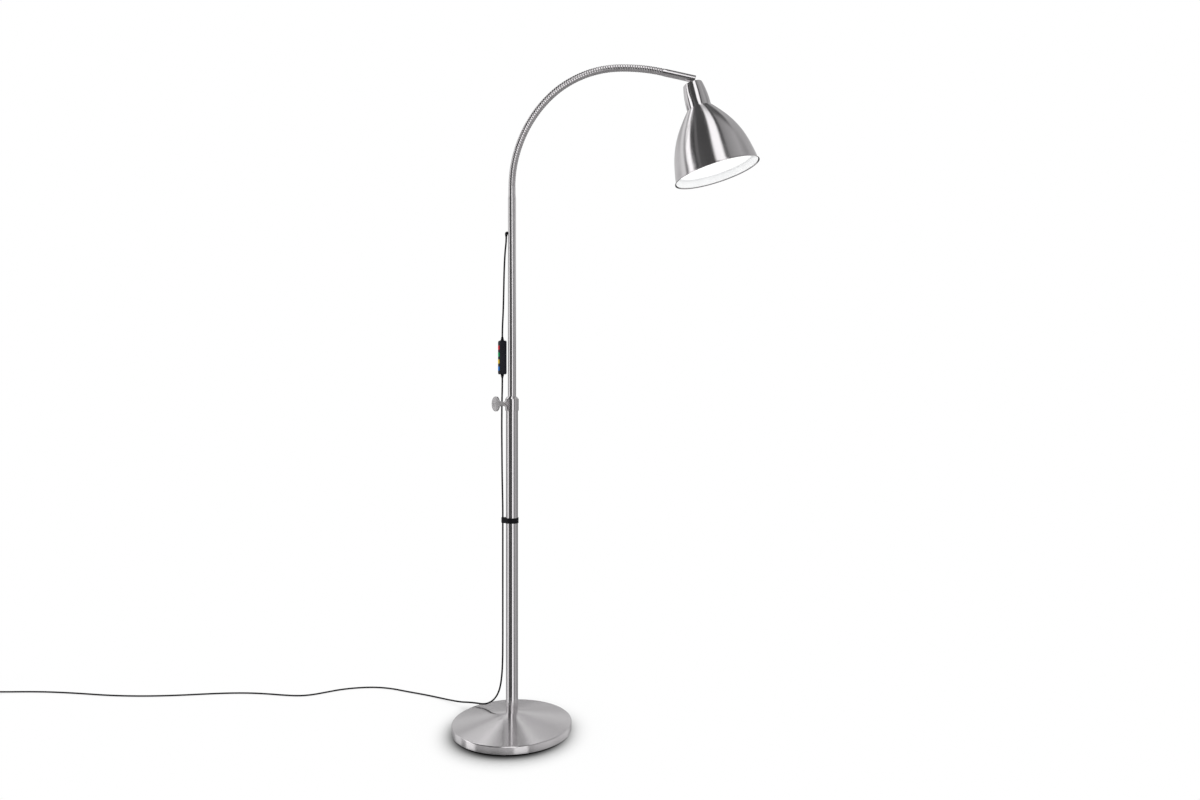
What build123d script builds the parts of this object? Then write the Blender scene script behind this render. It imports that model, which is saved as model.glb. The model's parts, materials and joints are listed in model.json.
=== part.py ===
from build123d import *

import os
from math import cos, pi, radians, sin, sqrt, tan

# Gooseneck reading floor lamp. Millimetres, +Z up, +X towards the lamp head, viewer at -Y.
# The origin is the centre of the face that the foot pad stands on.

# ---- clearances ---------------------------------------------------------------------------
SEAT_GAP = 0.05  # radial play of a part seated in another
SLIDE_GAP = 0.10  # radial play of a part that slides or turns in another
SOFT_GAP = 0.30  # play round a cord and between curved faces that pass each other
SMALL_GAP = 0.05  # play between flat faces that turn on each other

# ---- base ---------------------------------------------------------------------------------
BASE_RADIUS = 140.0
RIM_HEIGHT = 20.0  # floor to the edge where the cone starts
CONE_TOP = 43.0  # floor to the top of the cone, at the tube
COVER_WALL = 1.0
RIM_ROUND = 2.0
PAD_RADIUS = 136.0
PAD_THICKNESS = 3.0
WEIGHT_THICKNESS = 13.0
WEIGHT_PLAY = 0.5
HUB_RADIUS = 30.0
HUB_TOP = 36.0  # the lower tube stands on it

BOLT_RADIUS = 5.0
BOLT_HEAD_RADIUS = 8.5
BOLT_HEAD_HEIGHT = 7.0
BOLT_HEAD_DEPTH = 11.0  # depth of the counterbore in the weight's underside
BOLT_SOCKET_RADIUS = 5.0  # across the corners of its hexagon
BOLT_SHORT = 2.0  # the bolt ends this far under the plug's top
INSERT_LENGTH = 26.0

# ---- lower pole ---------------------------------------------------------------------------
LOWER_TUBE_RADIUS = 14.0
LOWER_TUBE_WALL = 1.2
LOWER_TUBE_TOP = 759.0
COLLAR_RADIUS = 15.5
COLLAR_PLAY = 0.7  # round the upper tube
COLLAR_LAP = 8.0  # down over the lower tube
COLLAR_LENGTH = 33.0
COLLAR_CHAMFER_HEIGHT = 5.0
COLLAR_CHAMFER_DEPTH = 4.2
BUSH_LENGTH = 28.0
BUSH_FLANGE = 2.0

# ---- clamp screw, on an axis that points left and towards the viewer ---------------------
CLAMP_RISE = 8.0  # mouth of the lower tube to the screw's axis
CLAMP_ANGLE = 216.0  # degrees from +X, seen from above
BOSS_RADIUS = 7.0
BOSS_REACH = 19.0  # pole axis to the face of the boss
BOSS_EDGE = 0.6
SCREW_RADIUS = 4.0
CLAMP_PAD_LENGTH = 2.6
KNOB_RADIUS = 17.5
KNOB_FACE = 45.0  # pole axis to the knob's outer face
KNOB_RIM = 4.5
KNOB_DISH = 0.8
KNOB_EDGE = 1.2
HUB_START = 24.0
HUB_NECK_RADIUS = 5.6
HUB_NECK_LENGTH = 6.0
HUB_TAPER = 0.4  # the hub widens by this over its neck
HUB_FLARE_RADIUS = 8.0
HUB_FLARE_LENGTH = 2.0
HUB_FLARE_STEP = 3.0
SCREW_IN_KNOB = 14.0

# ---- upper pole ---------------------------------------------------------------------------
UPPER_TUBE_RADIUS = 9.5
UPPER_TUBE_WALL = 1.0
UPPER_TUBE_TOP = 1252.0
UPPER_TUBE_LENGTH = 718.0
TAIL_BUSH_LENGTH = 26.0
TAIL_BUSH_START = 4.0  # foot of the tube to the foot of its bush
TAIL_CLIP_THICKNESS = 1.2
TAIL_CLIP_RADIUS = 11.6
FERRULE_RADIUS = 8.9
FERRULE_MOUTH_RADIUS = 8.5
FERRULE_TOP = 1277.0
FERRULE_SPIGOT = 18.0
FERRULE_STEP = 5.0  # height of the thicker band at its foot
FERRULE_STEP_DEPTH = 0.25

# ---- gooseneck ----------------------------------------------------------------------------
NECK_RADII = (298.0, 244.0, 427.0)  # bend radii along the arch
NECK_TURNS = (41.7, 46.5, 14.2)  # degrees turned on each bend
NECK_LINKS = 10
RIBS_PER_LINK = 9
RIB_RADIUS = 8.1
GROOVE_RADIUS = 7.0
RIB_PROFILE = ((0.1, 0), (0.32, 1), (0.68, 1), (0.9, 0))  # share of the pitch; groove is 0, rib is 1
NECK_BORE_RADIUS = 4.2
BALL_RADIUS = 6.1
LINK_SHOULDER = 1.9  # hinge point to the first groove of the next link
STUB_RADIUS = 7.2  # plain end of the neck, inside a ferrule
STUB_LENGTH = 16.2
STUB_PLAY = 0.5  # past the end of a stub

# ---- end ferrule and knuckle --------------------------------------------------------------
END_FERRULE_LENGTH = 77.8
END_FERRULE_RADIUS = 8.5
END_FERRULE_WALL = 1.0
END_TAPER = 7.0
END_DISC = 2.0  # thickness of its closed end
END_EDGE = 0.4
PIVOT_FROM_END = 5.0  # along the ferrule, end face to the pivot
PIVOT_DROP = 2.2  # ferrule's underside to the pivot
EAR_RADIUS = 4.2
EAR_THICKNESS = 2.5
EYE_THICKNESS = 4.0
STEM_WIDTH = 6.4
PIN_RADIUS = 1.5
PIN_HEAD_RADIUS = 2.5
PIN_HEAD_HEIGHT = 1.4
THREAD_DEPTH = 0.25

# ---- lamp head, in its own frame: top centre of the cap at 0, axis down along -Z ----------
HEAD_TILT = 15.5  # degrees from plumb, pointing down and outwards
PIVOT_OVER_CAP = 1.8
CAP_TOP_RADIUS = 22.5
CAP_BOTTOM_RADIUS = 28.8
CAP_LENGTH = 60.0
CAP_ARC_RADIUS = 220.0
CAP_CORNER = 2.2
CAP_WALL = 1.2
CAP_DECK = 10.0  # thickness of the solid top
SWIVEL_RADIUS = 8.2
SWIVEL_DROP = 3.0  # cap's top face to the top of the swivel disc
SWIVEL_THICKNESS = 3.95
SWIVEL_SHANK_RADIUS = 4.0
SWIVEL_SHANK_LENGTH = 15.0
SWIVEL_NUT_RADIUS = 6.5
SWIVEL_NUT_HEIGHT = 6.0
SWIVEL_WASHER_RADIUS = 8.0
SWIVEL_WASHER_THICKNESS = 1.0

SHADE_WALL = 0.8
SHADE_NECK_RADIUS = 30.0
SHADE_HEADING = 41.0  # degrees between the bell's wall and its axis, at the neck
SHADE_RADII = (400.0, 215.0, 450.0)  # bend radii of the bell, neck to rim
SHADE_TURNS = (7.0, 20.0, 5.5)
SHADE_LIP_RADIUS = 101.5
SHADE_LIP_LENGTH = 8.2
SHADE_LIP_FLARE = 0.9  # how far the wall has moved out where the bead starts
SHADE_BEAD_START = 3.4  # rim plane to the start of the bead, outside
SHADE_BEAD_INSIDE = 2.2  # rim plane to the start of the bead, inside
SHADE_BEAD = 1.9  # height of the bead
SHADE_BEAD_BULGE = 0.55
SHADE_FLANGE_HOLE = 24.6
SHADE_FLANGE = 0.9

SINK_CORE_RADIUS = 12.0
SINK_FIN_RADIUS = 24.0
SINK_FIN_THICKNESS = 1.6
SINK_FINS = 12
SINK_TOP = 25.0  # cap's top face to the fins
SINK_BASE_RADIUS = 29.0
SINK_BASE_THICKNESS = 4.0
BOARD_RADIUS = 26.5
BOARD_THICKNESS = 1.6
CHIP_SIDE = 3.5
CHIP_THICKNESS = 0.8
CHIP_RINGS = ((8.0, 5), (15.0, 9), (22.0, 14))  # ring radius and number of chips on it
HEAD_SCREW_CIRCLE = 18.5
HEAD_SCREW_RADIUS = 1.5
HEAD_SCREW_HEAD_RADIUS = 2.7
HEAD_SCREW_HEAD_HEIGHT = 2.0
HEAD_SCREW_BITE = 4.0
HEAD_SCREWS = 3
HEAD_SCREW_START = 15.0  # degrees

DIFFUSER_RECESS = 20.0  # rim plane to the diffuser's lower face
DIFFUSER_THICKNESS = 2.0
DIFFUSER_RADIUS = 91.0
RING_OPENING_RADIUS = 88.0
RING_LIP = 1.2
RING_HEIGHT = 6.0

# ---- cord, grommet, strap -----------------------------------------------------------------
CORD_RADIUS = 1.8
GROMMET_HEIGHT = 1160.0  # mouth of the grommet
GROMMET_DROP = 14.5
GROMMET_REACH = 6.6  # tube wall to the outside of the grommet
GROMMET_WIDTH = 7.0
GROMMET_PLUG_RADIUS = 3.0
GROMMET_PLUG_LENGTH = 5.1
GROMMET_LIP = 0.7  # wall round the cord at its mouth
GROMMET_SHOULDER = 3.2  # its rounded upper corner, across and down
GROMMET_SHOULDER_DROP = 5.0
STRAP_HEIGHT = 493.0  # middle of the strap
STRAP_WIDTH = 12.4
STRAP_THICKNESS = 1.3
STRAP_LIFT = 0.15  # play of the strap round the tube
CORNER_SHARE = 0.45  # share of a straight run that one rounded corner may use

# ---- in-line hand controller --------------------------------------------------------------
CONTROLLER_X = -25.2
CONTROLLER_Y = 20.0
CONTROLLER_BOTTOM = 837.0
CONTROLLER_LENGTH = 80.0
CONTROLLER_WIDTH = 24.0
CONTROLLER_DEPTH = 16.0
CONTROLLER_CORNER = 5.0
CONTROLLER_EDGE = 1.5
CONTROLLER_WALL = 1.6
CONTROLLER_SPLIT = 9.0  # depth of the back shell
CONTROLLER_FACING = 200.0  # degrees from +X that the buttons face, seen from above
BUTTON_PITCH = 16.5
BUTTON_DROP = 1.5  # the row sits this far below the middle
BUTTON_SIDE = 10.0
BUTTON_CORNER = 2.0
BUTTON_EDGE = 0.7
BUTTON_PROUD = 1.6
BUTTON_TRAVEL = 0.6
BUTTON_GAP = 0.25
BUTTON_FLANGE = 0.9
BUTTON_FLANGE_REACH = 0.8  # behind the shell, past the opening
BOARD_GAP = 0.3
CIRCUIT_THICKNESS = 1.2
BUTTON_NAMES = ("blue_button", "yellow_button", "green_button", "red_button")  # from below
BOOT_LENGTH = 9.0
BOOT_COLLAR = 1.5
BOOT_RADIUS = 4.2
BOOT_TIP_RADIUS = 2.6
SHELL_SCREW_RADIUS = 1.2
SHELL_SCREW_LENGTH = 7.0
SHELL_SCREW_INSET = 2.6  # inside of the wall to the screw's axis
SHELL_SCREW_START = 0.5  # head's face over the back shell

# ---- put-away coil and power supply -------------------------------------------------------
COIL_X = -1425.0
COIL_Y = 212.0
COIL_START_RADIUS = 24.0
COIL_TURNS = 3.0
COIL_CLIMB_TURNS = 0.5
COIL_STEP = 4.2  # between turns, across and up
COIL_HEIGHT = 3.45  # middle of the lower layer over the floor
COIL_LEAD_IN = 4.0
COIL_LEAD_OUT = 34.0
TIE_THICKNESS = 1.2
TIE_WIDTH = 4.0
TIE_ROUND = 1.0
SUPPLY_BOOT_LENGTH = 22.0
SUPPLY_BOOT_RADIUS = 4.6
SUPPLY_LENGTH = 58.0
SUPPLY_WIDTH = 40.0
SUPPLY_HEIGHT = 28.0
SUPPLY_CORNER = 5.0
SUPPLY_EDGE = 2.0
PIN_PITCH = 19.0
PLUG_PIN_RADIUS = 2.0
PLUG_PIN_LENGTH = 19.0
PLUG_FACE_RADIUS = 13.0
PLUG_FACE_HEIGHT = 5.0

# ---- cord routes, chosen by hand ----------------------------------------------------------
CLIP_CORD_X = -22.4
CLIP_CORD_Y = 6.0
CONTROLLER_TOP = CONTROLLER_BOTTOM + CONTROLLER_LENGTH
STRAP_TOP = STRAP_HEIGHT + STRAP_WIDTH / 2
GROMMET_CORD_X = -UPPER_TUBE_RADIUS - GROMMET_REACH + CORD_RADIUS + 0.7

UPPER_ROUTE = [
    (GROMMET_CORD_X, 0, GROMMET_HEIGHT),
    (GROMMET_CORD_X, 0, GROMMET_HEIGHT - 12),
    (-16.6, 1.2, 1124),
    (-19.0, 4.2, 1082),
    (-20.6, 9.0, 1032),
    (-22.4, 14.4, 984),
    (CONTROLLER_X, CONTROLLER_Y, CONTROLLER_TOP + BOOT_LENGTH + 20),
    (CONTROLLER_X, CONTROLLER_Y, CONTROLLER_TOP + BOOT_LENGTH),
]
MID_ROUTE = [
    (CONTROLLER_X, CONTROLLER_Y, CONTROLLER_BOTTOM - BOOT_LENGTH),
    (CONTROLLER_X, CONTROLLER_Y, CONTROLLER_BOTTOM - BOOT_LENGTH - 20),
    (-26.0, 18.4, 770),
    (-25.9, 14.0, 716),
    (-25.0, 10.5, 656),
    (-24.2, 8.2, 598),
    (-22.9, 6.4, 544),
    (CLIP_CORD_X, CLIP_CORD_Y, STRAP_TOP + 18.5),
    (CLIP_CORD_X, CLIP_CORD_Y, STRAP_TOP),
]
COIL_ENTRY_X = COIL_X + COIL_LEAD_IN
COIL_ENTRY_Y = COIL_Y + COIL_START_RADIUS
LOWER_ROUTE = [
    (CLIP_CORD_X, CLIP_CORD_Y, STRAP_TOP),
    (CLIP_CORD_X, CLIP_CORD_Y, 205),
    (-23.2, 8.4, 148),
    (-27.0, 13.5, 108),
    (-34.0, 23.0, 80),
    (-47.0, 37.0, 57),
    (-64.0, 55.0, 41.5),
    (-80.0, 74.0, 32.5),
    (-98.0, 94.0, 27.5),
    (-119.0, 116.0, 21.0),
    (-145.0, 142.0, 12.0),
    (-174.0, 170.0, 5.5),
    (-210.0, 196.0, 2.5),
    (-252.0, 219.0, 1.95),
    (-304.0, 241.5, 1.95),
    (-354.0, 265.5, 1.95),
    (-401.0, 275.0, 1.95),
    (-447.0, 270.0, 1.95),
    (-487.0, 257.0, 1.95),
    (-519.0, 237.0, 1.95),
    (-549.0, 218.5, 1.95),
    (-580.0, 211.0, 1.95),
    (-622.0, 216.0, 1.95),
    (-671.0, 226.0, 1.95),
    (-723.0, 232.0, 1.95),
    (-776.0, 231.0, 1.95),
    (-830.0, 225.0, 1.95),
    (-884.0, 217.0, 1.95),
    (-938.0, 211.5, 1.95),
    (-992.0, 209.5, 1.95),
    (-1047.0, 211.5, 1.95),
    (-1101.0, 217.5, 1.95),
    (-1155.0, 226.8, 1.95),
    (-1209.0, 234.5, 1.95),
    (-1263.0, 240.0, 1.95),
    (-1316.0, 241.0, 2.0),
    (-1364.0, 238.0, 2.6),
    (-1398.0, COIL_ENTRY_Y, COIL_HEIGHT),
    (COIL_ENTRY_X, COIL_ENTRY_Y, COIL_HEIGHT),
]

# ---- worked out from the sizes above ------------------------------------------------------
LOWER_BORE = LOWER_TUBE_RADIUS - LOWER_TUBE_WALL
COLLAR_BOTTOM = LOWER_TUBE_TOP - COLLAR_LAP
COLLAR_TOP = COLLAR_BOTTOM + COLLAR_LENGTH
CLAMP_HEIGHT = LOWER_TUBE_TOP + CLAMP_RISE
UPPER_TUBE_BOTTOM = UPPER_TUBE_TOP - UPPER_TUBE_LENGTH
CONE_DROP = CONE_TOP - RIM_HEIGHT
NECK_LENGTH = sum(r * radians(turn) for r, turn in zip(NECK_RADII, NECK_TURNS))
LINK_LENGTH = NECK_LENGTH / NECK_LINKS
RIB_PITCH = LINK_LENGTH / RIBS_PER_LINK
SOCKET_RADIUS = BALL_RADIUS + SOFT_GAP

os.makedirs("parts", exist_ok=True)


def save(name, *solids):
    """Write one node; several solids make a group of separate pieces."""
    shape = solids[0] if len(solids) == 1 else Compound(children=list(solids))
    export_step(shape, f"parts/{name}.step")


def turned(points, rounds=()):
    """A solid of revolution about Z from (radius, height) points; rounds are (point, fillet radius)."""
    face = make_face(Polyline(*points, close=True))
    for (radius, height), fillet_radius in rounds:
        corner = face.vertices().sort_by_distance((radius, height, 0))[0]
        face = fillet(corner, fillet_radius)
    return revolve(Plane.XZ * face, Axis.Z)


def ring(outer, inner, bottom, top):
    """A plain tube between two heights."""
    return turned([(inner, bottom), (outer, bottom), (outer, top), (inner, top)])


def rod(radius, bottom, top):
    """A plain round bar between two heights."""
    return Pos(0, 0, (bottom + top) / 2) * Cylinder(radius, top - bottom)


def cross_bar(radius, length):
    """A round bar along Y, centred on the origin."""
    return Rot(90, 0, 0) * Cylinder(radius, length)


def around(count, radius, start=0.0):
    """Places spaced evenly on a circle in the XY plane."""
    return [Rot(0, 0, start + 360 * i / count) * Pos(radius, 0, 0) for i in range(count)]


def arc_chain(x, y, heading, radii, turns, offset=0.0):
    """Tangent arcs that bend right; heading is degrees from +Y of the page, offset moves them inwards."""
    angle = radians(heading)
    x += offset * cos(angle)
    y -= offset * sin(angle)
    points = [(x, y)]
    for radius, turn in zip(radii, turns):
        for _ in range(2):
            middle = angle + radians(turn) / 4
            chord = 2 * (radius - offset) * sin(radians(turn) / 4)
            x += chord * sin(middle)
            y += chord * cos(middle)
            points.append((x, y))
            angle += radians(turn) / 2
    return points


def arcs_through(points):
    """Three-point arcs through every two spans of a chain."""
    return [ThreePointArc(*points[i : i + 3]) for i in range(0, len(points) - 2, 2)]


def corner_radii(route):
    """The largest radius that each corner of a cord's route has room for."""
    found = []
    for before, here, after in zip(route, route[1:], route[2:]):
        run_in = Vector(here) - Vector(before)
        run_out = Vector(after) - Vector(here)
        half_turn = radians(run_in.get_angle(run_out)) / 2
        found.append(CORNER_SHARE * min(run_in.length, run_out.length) / tan(half_turn))
    return found


def cord_tube(name, route):
    """A cord's solid: straight runs joined by tangent arcs."""
    bends = corner_radii(route)
    line = FilletPolyline(*route, radius=bends)
    start = Plane(origin=route[0], z_dir=Vector(route[1]) - Vector(route[0]))
    tube = sweep(start * Circle(CORD_RADIUS), path=line)
    expected = pi * CORD_RADIUS**2 * line.length
    print(f"{name}: length {line.length:.1f}, tightest bends {[round(r) for r in sorted(bends)[:3]]},",
          f"volume {tube.volume:.0f} of {expected:.0f}")
    return tube


# ---- base ---------------------------------------------------------------------------------
def cone_height(radius, drop=0.0):
    """Height of the cover's cone at a radius, or of a surface that lies a drop under it."""
    share = (BASE_RADIUS - radius) / (BASE_RADIUS - LOWER_TUBE_RADIUS)
    return RIM_HEIGHT + CONE_DROP * share - drop


def base_cover():
    hole = LOWER_TUBE_RADIUS + SEAT_GAP
    inside = BASE_RADIUS - COVER_WALL
    outline = [
        (BASE_RADIUS, PAD_THICKNESS),
        (BASE_RADIUS, RIM_HEIGHT),
        (hole, cone_height(hole)),
        (hole, cone_height(hole, COVER_WALL)),
        (inside, cone_height(inside, COVER_WALL)),
        (inside, PAD_THICKNESS),
    ]
    rounds = [(outline[1], RIM_ROUND), (outline[4], RIM_ROUND / 2)]
    return turned(outline, rounds=rounds)


def base_weight():
    radius = BASE_RADIUS - COVER_WALL - WEIGHT_PLAY
    top = PAD_THICKNESS + WEIGHT_THICKNESS
    bore = BOLT_RADIUS + SLIDE_GAP
    head = BOLT_HEAD_RADIUS + WEIGHT_PLAY
    return turned(
        [
            (head, PAD_THICKNESS),
            (radius, PAD_THICKNESS),
            (radius, top - RIM_ROUND),
            (radius - RIM_ROUND, top),
            (HUB_RADIUS, top),
            (HUB_RADIUS, HUB_TOP),
            (bore, HUB_TOP),
            (bore, PAD_THICKNESS + BOLT_HEAD_DEPTH),
            (head, PAD_THICKNESS + BOLT_HEAD_DEPTH),
        ]
    )


def foot_pad():
    """Plain disc glued over the bolt; the lamp stands on its whole face."""
    return rod(PAD_RADIUS, 0, PAD_THICKNESS)


def tube_insert():
    outer = LOWER_BORE - SEAT_GAP
    return ring(outer, BOLT_RADIUS + SEAT_GAP, HUB_TOP, HUB_TOP + INSERT_LENGTH)


def base_bolt():
    head_top = PAD_THICKNESS + BOLT_HEAD_DEPTH
    head = rod(BOLT_HEAD_RADIUS, head_top - BOLT_HEAD_HEIGHT, head_top)
    shank = rod(BOLT_RADIUS, head_top - BOLT_HEAD_HEIGHT, HUB_TOP + INSERT_LENGTH - BOLT_SHORT)
    hexagon = Pos(0, 0, head_top - BOLT_HEAD_HEIGHT) * RegularPolygon(BOLT_SOCKET_RADIUS, 6)
    return head + shank - extrude(hexagon, BOLT_HEAD_HEIGHT / 2)


# ---- lower pole ---------------------------------------------------------------------------
def lower_tube():
    return ring(LOWER_TUBE_RADIUS, LOWER_BORE, HUB_TOP, LOWER_TUBE_TOP)


def guide_bush():
    bore = UPPER_TUBE_RADIUS + SLIDE_GAP
    outer = LOWER_BORE - SEAT_GAP
    return turned(
        [
            (bore, LOWER_TUBE_TOP - BUSH_LENGTH),
            (outer, LOWER_TUBE_TOP - BUSH_LENGTH),
            (outer, LOWER_TUBE_TOP),
            (LOWER_TUBE_RADIUS, LOWER_TUBE_TOP),
            (LOWER_TUBE_RADIUS, LOWER_TUBE_TOP + BUSH_FLANGE),
            (bore, LOWER_TUBE_TOP + BUSH_FLANGE),
        ]
    )


CLAMP_PLANE = Plane(
    origin=(0, 0, CLAMP_HEIGHT),
    x_dir=(0, 0, 1),
    z_dir=(cos(radians(CLAMP_ANGLE)), sin(radians(CLAMP_ANGLE)), 0),
)


def on_clamp(solid):
    """Move a solid made about Z onto the clamp screw's axis."""
    return CLAMP_PLANE.location * solid


def clamp_collar():
    seat = LOWER_TUBE_RADIUS + SEAT_GAP
    bore = UPPER_TUBE_RADIUS + COLLAR_PLAY
    step = LOWER_TUBE_TOP + BUSH_FLANGE + SMALL_GAP
    body = turned(
        [
            (seat, COLLAR_BOTTOM),
            (COLLAR_RADIUS, COLLAR_BOTTOM),
            (COLLAR_RADIUS, COLLAR_TOP - COLLAR_CHAMFER_HEIGHT),
            (COLLAR_RADIUS - COLLAR_CHAMFER_DEPTH, COLLAR_TOP),
            (bore, COLLAR_TOP),
            (bore, step),
            (seat, step),
        ]
    )
    boss = rod(BOSS_RADIUS, seat, BOSS_REACH)
    boss = on_clamp(fillet(boss.edges().sort_by(Axis.Z)[-1], BOSS_EDGE))
    inside = rod((seat + COLLAR_RADIUS) / 2, COLLAR_BOTTOM - 1, COLLAR_TOP)
    hole = on_clamp(rod(SCREW_RADIUS + SEAT_GAP, 0, BOSS_REACH + 1))
    return body + (boss - inside) - hole


CLAMP_PAD_START = UPPER_TUBE_RADIUS + SOFT_GAP


def clamp_pad():
    slug = on_clamp(rod(SCREW_RADIUS - SEAT_GAP, 0, CLAMP_PAD_START + CLAMP_PAD_LENGTH))
    return slug - rod(CLAMP_PAD_START, COLLAR_BOTTOM, COLLAR_TOP)


def clamp_screw():
    start = CLAMP_PAD_START + CLAMP_PAD_LENGTH + SMALL_GAP
    return on_clamp(rod(SCREW_RADIUS, start, HUB_START + SCREW_IN_KNOB))


def clamp_knob():
    rim_start = KNOB_FACE - KNOB_RIM
    bore = SCREW_RADIUS + SEAT_GAP
    socket_end = HUB_START + SCREW_IN_KNOB
    outline = [
        (0, socket_end),
        (bore, socket_end),
        (bore, HUB_START),
        (HUB_NECK_RADIUS, HUB_START),
        (HUB_NECK_RADIUS + HUB_TAPER, HUB_START + HUB_NECK_LENGTH),
        (HUB_FLARE_RADIUS, rim_start - HUB_FLARE_LENGTH),
        (HUB_FLARE_RADIUS + HUB_FLARE_STEP, rim_start),
        (KNOB_RADIUS, rim_start),
        (KNOB_RADIUS, KNOB_FACE),
        (0, KNOB_FACE - KNOB_DISH),
    ]
    rounds = [(outline[7], KNOB_EDGE), (outline[8], KNOB_EDGE)]
    return on_clamp(turned(outline, rounds=rounds))


def cord_clip():
    """Rubber strap round the tube, drawn out to a nose that grips the cord."""
    tube_hole = LOWER_TUBE_RADIUS + STRAP_LIFT
    cord_hole = CORD_RADIUS + SOFT_GAP
    at_cord = Pos(CLIP_CORD_X, CLIP_CORD_Y, 0)
    around_tube = Circle(tube_hole + STRAP_THICKNESS)
    around_cord = at_cord * Circle(cord_hole + STRAP_THICKNESS)
    skin = make_hull([around_tube.edge(), around_cord.edge()])
    outline = skin - Circle(tube_hole) - at_cord * Circle(cord_hole)
    return Pos(0, 0, STRAP_HEIGHT - STRAP_WIDTH / 2) * extrude(outline, STRAP_WIDTH)


# ---- upper pole ---------------------------------------------------------------------------
def upper_tube():
    tube = ring(UPPER_TUBE_RADIUS, UPPER_TUBE_RADIUS - UPPER_TUBE_WALL, UPPER_TUBE_BOTTOM, UPPER_TUBE_TOP)
    entry = Pos(-UPPER_TUBE_RADIUS, 0, GROMMET_HEIGHT + GROMMET_DROP / 2) * Rot(0, 90, 0)
    return tube - entry * Cylinder(GROMMET_PLUG_RADIUS + SEAT_GAP, UPPER_TUBE_RADIUS)


TAIL_BUSH_BOTTOM = UPPER_TUBE_BOTTOM + TAIL_BUSH_START


def tail_bush():
    outer = LOWER_BORE - SLIDE_GAP
    inner = UPPER_TUBE_RADIUS + SEAT_GAP
    return ring(outer, inner, TAIL_BUSH_BOTTOM, TAIL_BUSH_BOTTOM + TAIL_BUSH_LENGTH)


def tail_clips():
    """Two snap rings, below and above the bush."""
    under = TAIL_BUSH_BOTTOM - SMALL_GAP
    over = TAIL_BUSH_BOTTOM + TAIL_BUSH_LENGTH + SMALL_GAP
    bore = UPPER_TUBE_RADIUS + SEAT_GAP / 2
    lower = ring(TAIL_CLIP_RADIUS, bore, under - TAIL_CLIP_THICKNESS, under)
    upper = ring(TAIL_CLIP_RADIUS, bore, over, over + TAIL_CLIP_THICKNESS)
    return lower, upper


def neck_ferrule():
    spigot = UPPER_TUBE_RADIUS - UPPER_TUBE_WALL - SEAT_GAP
    bore = STUB_RADIUS + SEAT_GAP
    return turned(
        [
            (bore, UPPER_TUBE_TOP - FERRULE_SPIGOT),
            (spigot, UPPER_TUBE_TOP - FERRULE_SPIGOT),
            (spigot, UPPER_TUBE_TOP),
            (FERRULE_RADIUS, UPPER_TUBE_TOP),
            (FERRULE_RADIUS, UPPER_TUBE_TOP + FERRULE_STEP),
            (FERRULE_RADIUS - FERRULE_STEP_DEPTH, UPPER_TUBE_TOP + FERRULE_STEP + 2 * FERRULE_STEP_DEPTH),
            (FERRULE_MOUTH_RADIUS, FERRULE_TOP),
            (bore, FERRULE_TOP),
        ]
    )


def cord_grommet():
    """Elbow strain relief: a plug through the tube wall and a tapered drop for the cord."""
    top = GROMMET_HEIGHT + GROMMET_DROP
    outside = -UPPER_TUBE_RADIUS - GROMMET_REACH
    inside = -UPPER_TUBE_RADIUS + 2 * UPPER_TUBE_WALL
    shoulder = top - GROMMET_SHOULDER_DROP
    tip = CORD_RADIUS + GROMMET_LIP
    side = make_face(
        Polyline(
            (inside, top),
            (outside + GROMMET_SHOULDER, top),
            (outside + 0.2 * GROMMET_SHOULDER, (top + shoulder) / 2),
            (outside, shoulder),
            (GROMMET_CORD_X - tip, GROMMET_HEIGHT),
            (GROMMET_CORD_X + tip, GROMMET_HEIGHT),
            (inside, GROMMET_HEIGHT + CORD_RADIUS),
            close=True,
        )
    )
    body = extrude(Plane.XZ * side, GROMMET_WIDTH / 2, both=True)
    body -= rod(UPPER_TUBE_RADIUS + SEAT_GAP, GROMMET_HEIGHT - 1, top + 1)
    plug_middle = -UPPER_TUBE_RADIUS + UPPER_TUBE_WALL / 2
    plug = Pos(plug_middle, 0, GROMMET_HEIGHT + GROMMET_DROP / 2) * Rot(0, 90, 0)
    return body + plug * Cylinder(GROMMET_PLUG_RADIUS, GROMMET_PLUG_LENGTH)


# ---- gooseneck ----------------------------------------------------------------------------
def neck_plane(distance):
    """Plane square to the neck at a distance along it, straight beyond its ends; its X stays along Y."""
    x, z, heading = 0.0, FERRULE_TOP + min(0.0, distance), 0.0
    left = max(0.0, distance)
    for radius, turn in zip(NECK_RADII, NECK_TURNS):
        part = min(left / radius, radians(turn))
        chord = 2 * radius * sin(part / 2)
        x += chord * sin(heading + part / 2)
        z += chord * cos(heading + part / 2)
        heading += part
        left -= part * radius
    origin = (x + left * sin(heading), 0, z + left * cos(heading))
    return Plane(origin=origin, x_dir=(0, 1, 0), z_dir=(sin(heading), 0, cos(heading)))


def ruled_tube(stations):
    """Ruled loft through circles given as (distance along the neck, radius)."""
    circles = [neck_plane(distance) * Circle(radius) for distance, radius in stations]
    return loft(circles, ruled=True)


def rib_stations(start, first, last):
    """Circles down one link: four for each rib, and a plain stub where the neck enters a ferrule."""
    radii = (GROOVE_RADIUS, RIB_RADIUS)
    stations = []
    for rib in range(RIBS_PER_LINK):
        stations += [[start + (rib + share) * RIB_PITCH, radii[part]] for share, part in RIB_PROFILE]
    end = start + LINK_LENGTH
    if first:
        stations = [[start - STUB_LENGTH, STUB_RADIUS], [start, STUB_RADIUS]] + stations
    else:
        stations[0][0] = start + LINK_SHOULDER
        stations[1][0] = start + 1.2 * LINK_SHOULDER
    if last:
        stations += [[end, STUB_RADIUS], [end + STUB_LENGTH, STUB_RADIUS]]
    else:
        stations.append([end, GROOVE_RADIUS])
    return stations


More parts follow.
